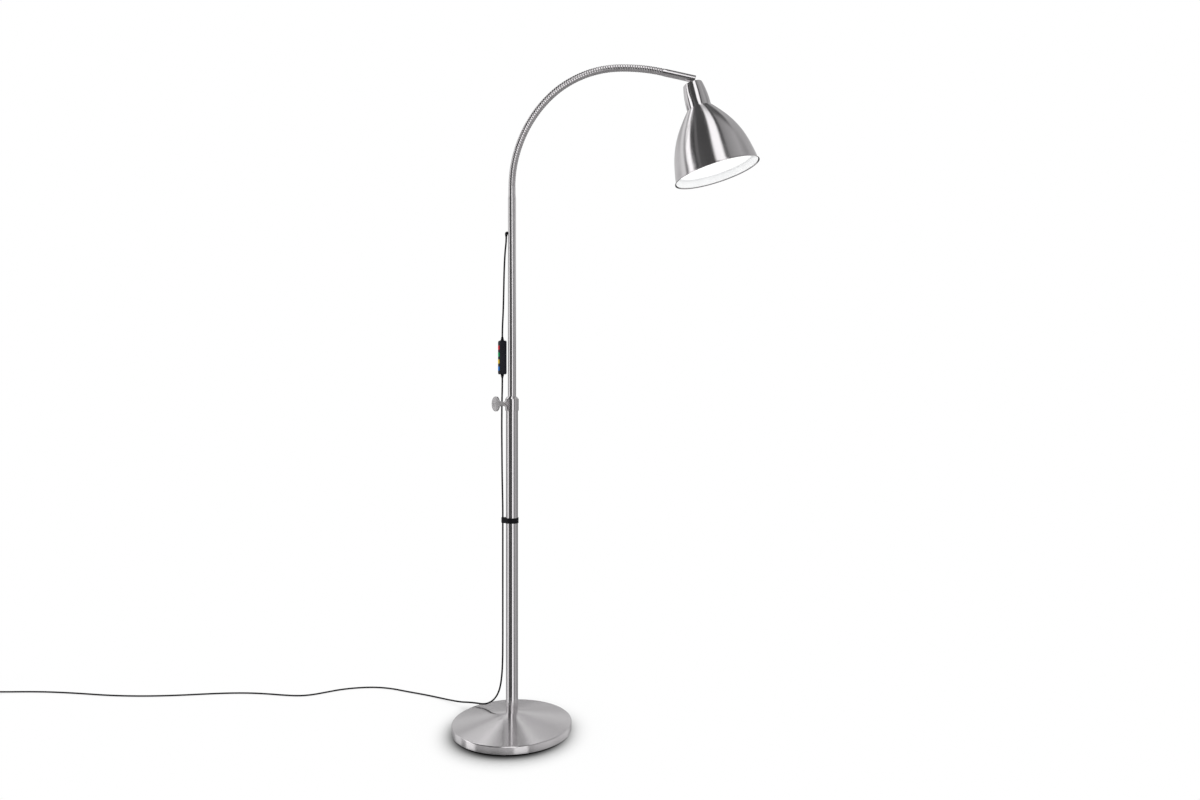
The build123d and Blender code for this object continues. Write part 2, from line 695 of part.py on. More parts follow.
def neck_link(index):
    """One link of the gooseneck: ball at its start, socket at its end, a bore for the lead all through."""
    start = index * LINK_LENGTH
    first = index == 0
    last = index == NECK_LINKS - 1
    stations = rib_stations(start, first, last)
    link = ruled_tube(stations)
    if not first:
        link += neck_plane(start).location * Sphere(BALL_RADIUS)
    if not last:
        link -= neck_plane(start + LINK_LENGTH).location * Sphere(SOCKET_RADIUS)
    bore_start = stations[0][0] - BALL_RADIUS - 2 * LINK_SHOULDER
    bore_step = (stations[-1][0] + 1 - bore_start) / RIBS_PER_LINK
    bore = [(bore_start + i * bore_step, NECK_BORE_RADIUS) for i in range(RIBS_PER_LINK + 1)]
    return link - ruled_tube(bore)


# ---- end ferrule and knuckle --------------------------------------------------------------
NECK_END = neck_plane(NECK_LENGTH)
UNDERSIDE = -1  # the neck plane's own Y points up from the ferrule
PIVOT = NECK_END.from_local_coords(
    (0, UNDERSIDE * (END_FERRULE_RADIUS + PIVOT_DROP), END_FERRULE_LENGTH - PIVOT_FROM_END)
)
PIVOT_FRAME = Location((PIVOT.X, 0, PIVOT.Z))
HEAD = PIVOT_FRAME * Rot(0, -HEAD_TILT, 0) * Pos(0, 0, -PIVOT_OVER_CAP)


def end_ferrule():
    bore = END_FERRULE_RADIUS - END_FERRULE_WALL
    stub = STUB_RADIUS + SEAT_GAP
    mouth = RIB_RADIUS + SEAT_GAP
    tube = turned(
        [
            (stub, 0),
            (mouth, 0),
            (END_FERRULE_RADIUS, END_TAPER),
            (END_FERRULE_RADIUS, END_FERRULE_LENGTH - END_EDGE),
            (END_FERRULE_RADIUS - END_EDGE, END_FERRULE_LENGTH),
            (0, END_FERRULE_LENGTH),
            (0, END_FERRULE_LENGTH - END_DISC),
            (bore, END_FERRULE_LENGTH - END_DISC),
            (bore, STUB_LENGTH + STUB_PLAY),
            (stub, STUB_LENGTH + STUB_PLAY),
        ]
    )
    slot_reach = EAR_RADIUS + SOFT_GAP
    at_pivot = Pos(0, UNDERSIDE * (END_FERRULE_RADIUS + PIVOT_DROP), END_FERRULE_LENGTH - PIVOT_FROM_END)
    slot = at_pivot * Rot(0, 90, 0) * Cylinder(slot_reach, EYE_THICKNESS + 2 * SOFT_GAP)
    return NECK_END.location * (tube - slot)


EAR_OUTSIDE = EYE_THICKNESS / 2 + SLIDE_GAP + EAR_THICKNESS


def knuckle_lug():
    """Two ears under the end of the ferrule."""
    height = END_FERRULE_RADIUS + PIVOT_DROP
    block = Pos(0, height / 2, 0) * Box(2 * EAR_OUTSIDE, height, 2 * EAR_RADIUS)
    ears = block + Rot(0, 90, 0) * Cylinder(EAR_RADIUS, 2 * EAR_OUTSIDE)
    gap = Box(EYE_THICKNESS + 2 * SLIDE_GAP, 3 * height, 4 * EAR_RADIUS)
    ears -= gap
    ears -= Rot(0, 90, 0) * Cylinder(PIN_RADIUS + SEAT_GAP, 4 * EAR_OUTSIDE)
    ears -= Pos(0, height, 0) * Cylinder(END_FERRULE_RADIUS + SEAT_GAP, 4 * EAR_RADIUS)
    at_pivot = Pos(0, UNDERSIDE * height, END_FERRULE_LENGTH - PIVOT_FROM_END)
    return [NECK_END.location * at_pivot * ear for ear in ears.solids()]


def knuckle_pin():
    reach = EAR_OUTSIDE + SMALL_GAP
    bar = cross_bar(PIN_RADIUS, 2 * reach + PIN_HEAD_HEIGHT)
    side = 2 * PIN_HEAD_RADIUS
    ball = Sphere(PIN_HEAD_RADIUS) & Pos(0, 0, PIN_HEAD_RADIUS) * Box(side, side, side)
    dome = scale(ball, (1, 1, PIN_HEAD_HEIGHT / PIN_HEAD_RADIUS))
    front = Pos(0, -reach, 0) * Rot(90, 0, 0) * dome
    back = Pos(0, reach, 0) * Rot(-90, 0, 0) * dome
    return PIVOT_FRAME * (bar + front + back)


def knuckle_eye():
    """The head's side of the knuckle: an eye on a disc with a threaded shank."""
    eye_height = PIVOT_OVER_CAP + SWIVEL_DROP
    eye = Pos(0, 0, PIVOT_OVER_CAP) * cross_bar(EAR_RADIUS, EYE_THICKNESS)
    stem = Pos(0, 0, PIVOT_OVER_CAP - eye_height / 2) * Box(STEM_WIDTH, EYE_THICKNESS, eye_height)
    disc = rod(SWIVEL_RADIUS, -SWIVEL_DROP - SWIVEL_THICKNESS, -SWIVEL_DROP)
    shank_top = -SWIVEL_DROP - SWIVEL_THICKNESS
    shank = rod(SWIVEL_SHANK_RADIUS, shank_top - SWIVEL_SHANK_LENGTH, shank_top)
    pin_hole = Pos(0, 0, PIVOT_OVER_CAP) * cross_bar(PIN_RADIUS + SLIDE_GAP, 2 * EYE_THICKNESS)
    return HEAD * (eye + stem + disc + shank - pin_hole)


DECK_BOTTOM = -CAP_DECK


def swivel_washer():
    top = DECK_BOTTOM - SMALL_GAP
    bottom = top - SWIVEL_WASHER_THICKNESS
    return HEAD * ring(SWIVEL_WASHER_RADIUS, SWIVEL_SHANK_RADIUS + SEAT_GAP, bottom, top)


def swivel_nut():
    top = DECK_BOTTOM - 2 * SMALL_GAP - SWIVEL_WASHER_THICKNESS
    bottom = top - SWIVEL_NUT_HEIGHT
    nut = extrude(Pos(0, 0, bottom) * RegularPolygon(SWIVEL_NUT_RADIUS, 6), SWIVEL_NUT_HEIGHT)
    return HEAD * (nut - rod(SWIVEL_SHANK_RADIUS + SEAT_GAP / 2, bottom - 1, top + 1))


# ---- lamp head ----------------------------------------------------------------------------
def bulge(start, end, radius):
    """Arc between two profile points that bows away from the axis."""
    (x0, y0), (x1, y1) = start, end
    half = sqrt((x1 - x0) ** 2 + (y1 - y0) ** 2) / 2
    rise = radius - sqrt(radius**2 - half**2)
    out = rise * abs(y1 - y0) / (2 * half)
    up = rise * abs(x1 - x0) / (2 * half)
    return ThreePointArc(start, ((x0 + x1) / 2 + out, (y0 + y1) / 2 + up), end)


def socket_cap():
    top = (CAP_TOP_RADIUS, 0)
    bottom = (CAP_BOTTOM_RADIUS, -CAP_LENGTH)
    inner_bottom = (CAP_BOTTOM_RADIUS - CAP_WALL, -CAP_LENGTH)
    deck_share = CAP_DECK / CAP_LENGTH
    deck_radius = CAP_TOP_RADIUS + (CAP_BOTTOM_RADIUS - CAP_TOP_RADIUS) * deck_share
    inner_top = (deck_radius, -CAP_DECK)
    counterbore = SWIVEL_RADIUS + SOFT_GAP
    seat = -SWIVEL_DROP - SWIVEL_THICKNESS - SMALL_GAP
    bore = SWIVEL_SHANK_RADIUS + SLIDE_GAP
    outline = [
        Line((counterbore, 0), top),
        bulge(top, bottom, CAP_ARC_RADIUS),
        Line(bottom, inner_bottom),
        bulge(inner_top, inner_bottom, CAP_ARC_RADIUS),
        Line(inner_top, (bore, -CAP_DECK)),
        Line((bore, -CAP_DECK), (bore, seat)),
        Line((bore, seat), (counterbore, seat)),
        Line((counterbore, seat), (counterbore, 0)),
    ]
    face = make_face(outline)
    face = fillet(face.vertices().sort_by_distance((*top, 0))[0], CAP_CORNER)
    cap = revolve(Plane.XZ * face, Axis.Z)
    core = HEAD_SCREW_RADIUS - THREAD_DEPTH + SEAT_GAP
    thread = rod(core, -CAP_DECK - 1, -CAP_DECK + HEAD_SCREW_BITE)
    for place in around(HEAD_SCREWS, HEAD_SCREW_CIRCLE, HEAD_SCREW_START):
        cap -= place * thread
    return HEAD * cap


def bell_profile(offset):
    """(radius, height) points down the bell's wall, moved towards the axis by an offset."""
    chain = arc_chain(CAP_LENGTH, SHADE_NECK_RADIUS, 90 - SHADE_HEADING, SHADE_RADII, SHADE_TURNS, offset)
    return [(radius, -depth) for depth, radius in chain]


def shade():
    """Spun bell with a flat flange under the cap and a beaded lip round its rim."""
    outer = bell_profile(0)
    inner = bell_profile(SHADE_WALL)
    rim_radius, rim_height = outer[-1]
    lip = rim_height - SHADE_LIP_LENGTH
    neck = -CAP_LENGTH - SMALL_GAP
    flange = neck - SHADE_FLANGE
    outer[0] = (outer[0][0], neck)
    inner[0] = (inner[0][0], flange)
    wall_end = (rim_radius + SHADE_LIP_FLARE, lip + SHADE_BEAD_START)
    bead_top = (SHADE_LIP_RADIUS, lip + SHADE_BEAD)
    bead_side = (SHADE_LIP_RADIUS + SHADE_BEAD_BULGE, lip + SHADE_BEAD / 2)
    bead_foot = (SHADE_LIP_RADIUS, lip)
    inner_end = (inner[-1][0] + SHADE_LIP_FLARE, lip + SHADE_BEAD_INSIDE)
    flange_low = (SHADE_FLANGE_HOLE, flange)
    flange_high = (SHADE_FLANGE_HOLE, neck)
    outline = [Line(flange_high, outer[0]), *arcs_through(outer)]
    outline += [Line(outer[-1], wall_end), Line(wall_end, bead_top)]
    outline += [ThreePointArc(bead_top, bead_side, bead_foot), Line(bead_foot, inner_end)]
    outline += [Line(inner_end, inner[-1]), *arcs_through(inner)]
    outline += [Line(inner[0], flange_low), Line(flange_low, flange_high)]
    return HEAD * revolve(Plane.XZ * make_face(outline), Axis.Z)


RIM_PLANE = bell_profile(0)[-1][1] - SHADE_LIP_LENGTH
SINK_SEAT = -CAP_LENGTH - SHADE_FLANGE - 2 * SMALL_GAP


def heat_sink():
    top = -SINK_TOP
    core = rod(SINK_CORE_RADIUS, SINK_SEAT, top)
    base = rod(SINK_BASE_RADIUS, SINK_SEAT - SINK_BASE_THICKNESS, SINK_SEAT)
    reach = SINK_FIN_RADIUS - SINK_CORE_RADIUS + SINK_FIN_THICKNESS
    height = top - SINK_SEAT
    fin = Pos(-reach / 2, 0, SINK_SEAT + height / 2) * Box(reach, SINK_FIN_THICKNESS, height)
    body = core + base
    body += [place * fin for place in around(SINK_FINS, SINK_FIN_RADIUS)]
    hole = rod(HEAD_SCREW_RADIUS + SLIDE_GAP, SINK_SEAT - SINK_BASE_THICKNESS - 1, SINK_SEAT + 1)
    for place in around(HEAD_SCREWS, HEAD_SCREW_CIRCLE, HEAD_SCREW_START):
        body -= place * hole
    return HEAD * body


def head_screws():
    """Long screws from under the heat sink up into the cap's solid top."""
    head_top = SINK_SEAT - SINK_BASE_THICKNESS
    end = -CAP_DECK + HEAD_SCREW_BITE - SOFT_GAP
    screw = rod(HEAD_SCREW_RADIUS - THREAD_DEPTH, head_top - SMALL_GAP, end)
    screw += rod(HEAD_SCREW_HEAD_RADIUS, head_top - HEAD_SCREW_HEAD_HEIGHT, head_top)
    return [HEAD * place * screw for place in around(HEAD_SCREWS, HEAD_SCREW_CIRCLE, HEAD_SCREW_START)]


BOARD_TOP = SINK_SEAT - SINK_BASE_THICKNESS - SMALL_GAP


def led_board():
    board = rod(BOARD_RADIUS, BOARD_TOP - BOARD_THICKNESS, BOARD_TOP)
    window = rod(HEAD_SCREW_HEAD_RADIUS + SOFT_GAP, BOARD_TOP - BOARD_THICKNESS - 1, BOARD_TOP + 1)
    for place in around(HEAD_SCREWS, HEAD_SCREW_CIRCLE, HEAD_SCREW_START):
        board -= place * window
    return HEAD * board


def led_chips():
    chips = []
    face = BOARD_TOP - BOARD_THICKNESS
    chip = Pos(0, 0, face - CHIP_THICKNESS / 2) * Box(CHIP_SIDE, CHIP_SIDE, CHIP_THICKNESS)
    screws = [place.position for place in around(HEAD_SCREWS, HEAD_SCREW_CIRCLE, HEAD_SCREW_START)]
    for radius, count in CHIP_RINGS:
        for place in around(count, radius):
            near = min((place.position - spot).length for spot in screws)
            if near > HEAD_SCREW_HEAD_RADIUS + CHIP_SIDE:
                chips.append(HEAD * place * chip)
    return chips


DIFFUSER_FACE = RIM_PLANE + DIFFUSER_RECESS


def wall_radius(height):
    """Inside radius of the bell at a height in the head's frame, on the straight line between arc ends."""
    inner = bell_profile(SHADE_WALL)
    for (r0, z0), (r1, z1) in zip(inner, inner[1:]):
        if z1 <= height <= z0:
            return r0 + (r1 - r0) * (height - z0) / (z1 - z0)
    return inner[-1][0]


def diffuser():
    return HEAD * rod(DIFFUSER_RADIUS, DIFFUSER_FACE, DIFFUSER_FACE + DIFFUSER_THICKNESS)


def diffuser_ring():
    """Snap ring that carries the diffuser on an inner lip and follows the bell's wall."""
    low = DIFFUSER_FACE - RING_LIP - SMALL_GAP
    high = low + RING_HEIGHT
    seat = DIFFUSER_RADIUS + SEAT_GAP
    ledge = DIFFUSER_FACE - SMALL_GAP
    outline = [
        (RING_OPENING_RADIUS, low),
        (wall_radius(low) - SOFT_GAP, low),
        (wall_radius(high) - SOFT_GAP, high),
        (seat, high),
        (seat, ledge),
        (RING_OPENING_RADIUS, ledge),
    ]
    return HEAD * turned(outline)


# ---- in-line hand controller --------------------------------------------------------------
CONTROLLER = Location((CONTROLLER_X, CONTROLLER_Y, CONTROLLER_BOTTOM)) * Rot(0, 0, CONTROLLER_FACING)
# In this frame the buttons face +X, the width is along Y and the length along Z.
FACE_X = CONTROLLER_DEPTH / 2
SPLIT_X = -CONTROLLER_DEPTH / 2 + CONTROLLER_SPLIT
BUTTON_CENTRES = [CONTROLLER_LENGTH / 2 + (i - 1.5) * BUTTON_PITCH - BUTTON_DROP for i in range(4)]
SHELL_SCREW_Y = CONTROLLER_WIDTH / 2 - CONTROLLER_WALL - SHELL_SCREW_INSET
SHELL_SCREW_Z = CONTROLLER_LENGTH / 2 + BUTTON_PITCH


def controller_block(shrink, corner, edge):
    """Rounded block of the controller's outside, or of its inside when it is shrunk by the wall."""
    width = CONTROLLER_WIDTH - 2 * shrink
    length = CONTROLLER_LENGTH - 2 * shrink
    depth = CONTROLLER_DEPTH - 2 * shrink
    block = Pos(0, 0, CONTROLLER_LENGTH / 2) * Box(depth, width, length)
    block = fillet(block.edges().filter_by(Axis.X), corner)
    if edge:
        block = fillet(block.faces().filter_by(Axis.X).edges(), edge)
    return block


def controller_shell():
    outside = controller_block(0, CONTROLLER_CORNER, CONTROLLER_EDGE)
    inside = controller_block(CONTROLLER_WALL, CONTROLLER_CORNER - CONTROLLER_WALL, 0)
    cord_hole = rod(CORD_RADIUS + SOFT_GAP, -1, CONTROLLER_LENGTH + 1)
    return outside - inside - cord_hole


def half_space(from_x, to_x):
    """Slab of the controller's frame between two depths."""
    slab = Box(to_x - from_x, 2 * CONTROLLER_WIDTH, 2 * CONTROLLER_LENGTH)
    return Pos((from_x + to_x) / 2, 0, CONTROLLER_LENGTH / 2) * slab


def controller_front():
    front = controller_shell() & half_space(SPLIT_X + SMALL_GAP, CONTROLLER_DEPTH)
    opening_side = BUTTON_SIDE + 2 * BUTTON_GAP
    for centre in BUTTON_CENTRES:
        opening = Pos(FACE_X, 0, centre) * Box(3 * CONTROLLER_WALL, opening_side, opening_side)
        front -= fillet(opening.edges().filter_by(Axis.X), BUTTON_CORNER + BUTTON_GAP)
    return CONTROLLER * front


def controller_back():
    back = controller_shell() & half_space(-CONTROLLER_DEPTH, SPLIT_X)
    hole = Rot(0, 90, 0) * Cylinder(SHELL_SCREW_RADIUS + SEAT_GAP, 2 * CONTROLLER_DEPTH)
    for y in (-SHELL_SCREW_Y, SHELL_SCREW_Y):
        back -= Pos(-CONTROLLER_DEPTH, y, SHELL_SCREW_Z) * hole
    return CONTROLLER * back


def controller_board():
    top = FACE_X - CONTROLLER_WALL - BUTTON_FLANGE - BUTTON_TRAVEL - 2 * BOARD_GAP
    width = CONTROLLER_WIDTH - 2 * CONTROLLER_WALL - 2 * BOARD_GAP
    length = CONTROLLER_LENGTH - 2 * CONTROLLER_WALL - 2 * BOARD_GAP
    board = Box(CIRCUIT_THICKNESS, width, length)
    board = fillet(board.edges().filter_by(Axis.X), CONTROLLER_CORNER - CONTROLLER_WALL)
    return CONTROLLER * Pos(top - CIRCUIT_THICKNESS / 2, 0, CONTROLLER_LENGTH / 2) * board


def button(centre):
    """Soft key with a flange that keeps it behind the front shell."""
    inner = FACE_X - CONTROLLER_WALL - SMALL_GAP
    cap_depth = CONTROLLER_WALL + BUTTON_PROUD + SMALL_GAP
    cap = Pos(inner + cap_depth / 2, 0, centre) * Box(cap_depth, BUTTON_SIDE, BUTTON_SIDE)
    cap = fillet(cap.edges().filter_by(Axis.X), BUTTON_CORNER)
    cap = fillet(cap.faces().sort_by(Axis.X)[-1].edges(), BUTTON_EDGE)
    flange_side = BUTTON_SIDE + 2 * BUTTON_GAP + 2 * BUTTON_FLANGE_REACH
    flange = Pos(inner - BUTTON_FLANGE / 2, 0, centre) * Box(BUTTON_FLANGE, flange_side, flange_side)
    return CONTROLLER * (cap + flange)


def controller_screws():
    """Two small screws in the back shell."""
    middle = -CONTROLLER_DEPTH / 2 - SHELL_SCREW_START + SHELL_SCREW_LENGTH / 2
    shank = Rot(0, 90, 0) * Cylinder(SHELL_SCREW_RADIUS, SHELL_SCREW_LENGTH)
    return [CONTROLLER * Pos(middle, y, SHELL_SCREW_Z) * shank for y in (-SHELL_SCREW_Y, SHELL_SCREW_Y)]


def controller_boots():
    """Tapered strain reliefs on both ends; the cord ends at their tips."""
    outline = [
        (0, 0),
        (BOOT_RADIUS, 0),
        (BOOT_RADIUS, BOOT_COLLAR),
        (BOOT_TIP_RADIUS, BOOT_LENGTH),
        (0, BOOT_LENGTH),
    ]
    boot = turned(outline)
    top = Pos(0, 0, CONTROLLER_LENGTH) * boot
    bottom = Rot(180, 0, 0) * boot
    return CONTROLLER * top, CONTROLLER * bottom


# ---- put-away coil ------------------------------------------------------------------------
def coil_point(turn):
    """Point on the coil after so many turns: spiral in, climb where it reverses, spiral out."""
    middle = COIL_TURNS / 2
    radius = COIL_START_RADIUS - COIL_STEP * min(turn, COIL_TURNS - turn)
    climb = (turn - middle + COIL_CLIMB_TURNS / 2) / COIL_CLIMB_TURNS
    height = COIL_HEIGHT + COIL_STEP * min(1, max(0, climb))
    angle = pi / 2 + 2 * pi * turn
    return Vector(COIL_X + radius * cos(angle), COIL_Y + radius * sin(angle), height)


def coil_heading(turn):
    """Direction of travel on the coil, level at the middle of a quarter's ends."""
    step = 1e-4
    before = coil_point(max(0, turn - step))
    after = coil_point(min(COIL_TURNS, turn + step))
    return (after - before).normalized()


def biarc(start, start_heading, end, end_heading):
    """Two tangent arcs between two points with given headings."""
    gap = end - start
    both = start_heading + end_heading
    a = 2 * (1 - start_heading.dot(end_heading))
    b = 2 * gap.dot(both)
    c = -gap.dot(gap)
    reach = -c / b if a < 1e-9 else (-b + sqrt(b * b - 4 * a * c)) / (2 * a)
    meeting = (start + start_heading * reach + end - end_heading * reach) / 2
    first = TangentArc(start, meeting, tangent=start_heading)
    second = TangentArc(meeting, end, tangent=first % 1)
    return first, second


def cord_coil():
    quarters = int(4 * COIL_TURNS)
    points = [coil_point(i / 4) for i in range(quarters + 1)]
    headings = [coil_heading(i / 4) for i in range(quarters + 1)]
    headings[0] = headings[-1] = Vector(-1, 0, 0)
    lead_in = Line(points[0] - headings[0] * COIL_LEAD_IN, points[0])
    edges = [lead_in]
    for i in range(quarters):
        edges += biarc(points[i], headings[i], points[i + 1], headings[i + 1])
    edges.append(Line(points[-1], points[-1] + headings[-1] * COIL_LEAD_OUT))
    path = Wire(edges)
    start = Plane(origin=lead_in @ 0, z_dir=headings[0])
    tube = sweep(start * Circle(CORD_RADIUS), path=path)
    print(f"cord_coil: length {path.length:.1f}, gap to itself {coil_gap(path):.2f},",
          f"volume {tube.volume:.0f} of {pi * CORD_RADIUS**2 * path.length:.0f}")
    return tube


def coil_gap(path):
    """Least clear space between stretches of the coil that are over half a turn apart."""
    count = 360
    spots = [path @ (i / count) for i in range(count + 1)]
    apart = int(0.5 * pi * COIL_START_RADIUS / (path.length / count))
    nearest = min((spots[i] - spots[j]).length for i in range(count) for j in range(i + apart, count))
    return nearest - 2 * CORD_RADIUS


def cord_tie():
    """Band round the bundle of turns, on the side nearest the lamp."""
    turns = [coil_point(k + 0.75) for k in range(int(COIL_TURNS))]
    inner = min(p.X for p in turns) - CORD_RADIUS - SOFT_GAP
    outer = max(p.X for p in turns) + CORD_RADIUS + SOFT_GAP
    low = COIL_HEIGHT - CORD_RADIUS - SOFT_GAP
    high = COIL_HEIGHT + COIL_STEP + CORD_RADIUS + SOFT_GAP
    width = outer - inner
    height = high - low
    loop = Box(width + 2 * TIE_THICKNESS, TIE_WIDTH, height + 2 * TIE_THICKNESS)
    loop = fillet(loop.edges().filter_by(Axis.Y), TIE_THICKNESS + TIE_ROUND)
    hole = fillet(Box(width, 2 * TIE_WIDTH, height).edges().filter_by(Axis.Y), TIE_ROUND)
    return Pos((inner + outer) / 2, COIL_Y, (low + high) / 2) * (loop - hole)


# ---- power supply -------------------------------------------------------------------------
SUPPLY_HEIGHT_ENTRY = COIL_HEIGHT + COIL_STEP
SUPPLY_END_X = COIL_X - COIL_LEAD_OUT - SUPPLY_BOOT_LENGTH


def supply_boot():
    outline = [
        (0, 0),
        (SUPPLY_BOOT_RADIUS, 0),
        (SUPPLY_BOOT_RADIUS, BOOT_COLLAR),
        (BOOT_TIP_RADIUS, SUPPLY_BOOT_LENGTH),
        (0, SUPPLY_BOOT_LENGTH),
    ]
    return Pos(SUPPLY_END_X, COIL_ENTRY_Y, SUPPLY_HEIGHT_ENTRY) * Rot(0, 90, 0) * turned(outline)


def power_supply():
    body = Box(SUPPLY_LENGTH, SUPPLY_WIDTH, SUPPLY_HEIGHT)
    body = fillet(body.edges().filter_by(Axis.X), SUPPLY_CORNER)
    body = fillet(body.faces().sort_by(Axis.X)[-1].edges(), SUPPLY_EDGE)
    body = Pos(-SUPPLY_LENGTH / 2, 0, 0) * body
    face = Pos(-SUPPLY_LENGTH, 0, 0) * Rot(0, 90, 0) * Cylinder(PLUG_FACE_RADIUS, 2 * PLUG_FACE_HEIGHT)
    return Pos(SUPPLY_END_X, COIL_ENTRY_Y, SUPPLY_HEIGHT / 2) * (body + face)


def plug_pins():
    start = SUPPLY_END_X - SUPPLY_LENGTH - PLUG_FACE_HEIGHT
    pin = Rot(0, 90, 0) * Cylinder(PLUG_PIN_RADIUS, PLUG_PIN_LENGTH)
    pin = fillet(pin.faces().sort_by(Axis.X)[0].edges(), 1)
    middle = start - PLUG_PIN_LENGTH / 2
    return [Pos(middle, COIL_ENTRY_Y + side * PIN_PITCH / 2, SUPPLY_HEIGHT / 2) * pin for side in (-1, 1)]


# ---- write every node ---------------------------------------------------------------------
save("base_cover", base_cover())
save("base_weight", base_weight())
save("foot_pad", foot_pad())
save("tube_insert", tube_insert())
save("base_bolt", base_bolt())
save("lower_tube", lower_tube())
save("guide_bush", guide_bush())
save("clamp_collar", clamp_collar())
save("clamp_pad", clamp_pad())
save("clamp_screw", clamp_screw())
save("clamp_knob", clamp_knob())
save("cord_clip", cord_clip())
save("upper_tube", upper_tube())
save("tail_bush", tail_bush())
save("tail_clips", *tail_clips())
save("neck_ferrule", neck_ferrule())
save("cord_grommet", cord_grommet())
for number in range(NECK_LINKS):
    save(f"neck_link_{number + 1:02d}", neck_link(number))
save("end_ferrule", end_ferrule())
save("knuckle_lug", *knuckle_lug())
save("knuckle_pin", knuckle_pin())
save("knuckle_eye", knuckle_eye())
save("swivel_washer", swivel_washer())
save("swivel_nut", swivel_nut())
save("socket_cap", socket_cap())
save("shade", shade())
save("heat_sink", heat_sink())
save("head_screws", *head_screws())
save("led_board", led_board())
save("led_chips", *led_chips())
save("diffuser", diffuser())
save("diffuser_ring", diffuser_ring())
save("controller_front", controller_front())
save("controller_back", controller_back())
save("controller_board", controller_board())
save("controller_screws", *controller_screws())
save("controller_boots", *controller_boots())
for name, centre in zip(BUTTON_NAMES, BUTTON_CENTRES):
    save(name, button(centre))
save("cord_upper", cord_tube("cord_upper", UPPER_ROUTE))
save("cord_mid", cord_tube("cord_mid", MID_ROUTE))
save("cord_lower", cord_tube("cord_lower", LOWER_ROUTE))
save("cord_coil", cord_coil())
save("cord_tie", cord_tie())
save("supply_boot", supply_boot())
save("power_supply", power_supply())
save("plug_pins", *plug_pins())
print(f"neck: length {NECK_LENGTH:.1f}, rib pitch {RIB_PITCH:.2f}, pivot {PIVOT}")
print(f"in the head's frame: rim {RIM_PLANE:.2f}, diffuser {DIFFUSER_FACE:.2f}")
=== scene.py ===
import json
from math import cos, pi, radians, sin, sqrt

import bmesh
import bpy
from mathutils import Matrix, Vector


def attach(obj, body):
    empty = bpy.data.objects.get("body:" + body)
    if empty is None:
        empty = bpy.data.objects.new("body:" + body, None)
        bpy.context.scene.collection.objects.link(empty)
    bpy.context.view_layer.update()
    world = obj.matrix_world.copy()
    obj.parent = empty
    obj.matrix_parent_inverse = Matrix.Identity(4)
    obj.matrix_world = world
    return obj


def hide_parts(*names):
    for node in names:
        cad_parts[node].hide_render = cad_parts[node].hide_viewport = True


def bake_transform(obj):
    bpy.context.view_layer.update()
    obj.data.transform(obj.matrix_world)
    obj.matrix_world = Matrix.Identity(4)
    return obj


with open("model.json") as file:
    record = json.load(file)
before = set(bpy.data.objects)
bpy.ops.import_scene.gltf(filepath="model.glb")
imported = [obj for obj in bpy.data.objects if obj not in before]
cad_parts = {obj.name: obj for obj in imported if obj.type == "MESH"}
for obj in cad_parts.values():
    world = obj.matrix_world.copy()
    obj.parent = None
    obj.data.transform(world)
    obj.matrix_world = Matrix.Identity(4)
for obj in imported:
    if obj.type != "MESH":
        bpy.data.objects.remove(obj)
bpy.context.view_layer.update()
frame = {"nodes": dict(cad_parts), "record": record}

# Gooseneck reading lamp, dressed. Sizes are in millimetres and become metres in each mesh.
MM = 0.001
NODES = frame["nodes"]

# ---- sizes shared by several pieces --------------------------------------------------------
TUBE_RADIUS = 14.0
TUBE_FOOT = 36.0
TUBE_MOUTH = 759.0
POLE_RADIUS = 9.5
POLE_FOOT = 534.0
POLE_TOP = 1252.0
NECK_START = 1277.0
NECK_RADII = (298.0, 244.0, 427.0)
NECK_TURNS = (41.7, 46.5, 14.2)
NECK_LENGTH = sum(r * radians(t) for r, t in zip(NECK_RADII, NECK_TURNS))
NECK_LINKS = 10
LINK = NECK_LENGTH / NECK_LINKS
LINK_RIBS = 9
RIB_RADIUS = 8.1
GROOVE_RADIUS = 7.3
RIB_STEPS = 12
HOSE_SIDES = 40
HOSE_LAP = 3.0  # how far the hose runs into the ferrule at each end
END_FERRULE_LENGTH = 77.8
END_FERRULE_RADIUS = 8.5
PIVOT_FROM_END = 5.0
PIVOT_DROP = 2.2
CORD_RADIUS = 2.0
CORD_SPLIT = 790.0  # height where the hanging cord's lower part ends

UPPER_ROUTE = [
    (-13.6, 0, 1160), (-13.6, 0, 1148), (-16.6, 1.2, 1124), (-19, 4.2, 1082), (-20.6, 9, 1032),
    (-22.4, 14.4, 984), (-25.2, 20, 946), (-25.2, 20, 926),
]
MID_ROUTE = [
    (-25.2, 20, 828), (-25.2, 20, 808), (-26, 18.4, 770), (-25.9, 14, 716), (-25, 10.5, 656),
    (-24.2, 8.2, 598), (-22.9, 6.4, 544), (-22.4, 6, 517.7), (-22.4, 6, 499.2),
]
FLOOR_ROUTE = [
    (-22.4, 6, 499.2), (-22.4, 6, 262), (-22.4, 6, 205), (-23.2, 8.4, 148), (-27, 13.5, 108),
    (-34, 23, 80), (-47, 37, 57), (-64, 55, 41.5), (-80, 74, 32.5), (-98, 94, 27.5),
    (-119, 116, 21), (-145, 142, 12), (-174, 170, 5.5), (-210, 196, 2.5), (-252, 219, 1.95),
    (-304, 241.5, 1.95), (-354, 265.5, 1.95), (-401, 275, 1.95), (-447, 270, 1.95),
    (-487, 257, 1.95), (-519, 237, 1.95), (-549, 218.5, 1.95), (-580, 211, 1.95),
    (-622, 216, 1.95), (-671, 226, 1.95), (-723, 232, 1.95), (-776, 231, 1.95),
    (-830, 225, 1.95), (-884, 217, 1.95), (-938, 211.5, 1.95), (-992, 209.5, 1.95),
    (-1047, 211.5, 1.95), (-1101, 217.5, 1.95), (-1155, 226.8, 1.95), (-1209, 234.5, 1.95),
    (-1263, 240, 1.95), (-1316, 241, 2.0), (-1364, 238, 2.6), (-1398, 236, 3.45),
]
COIL_CENTRE = (-1425.0, 212.0)
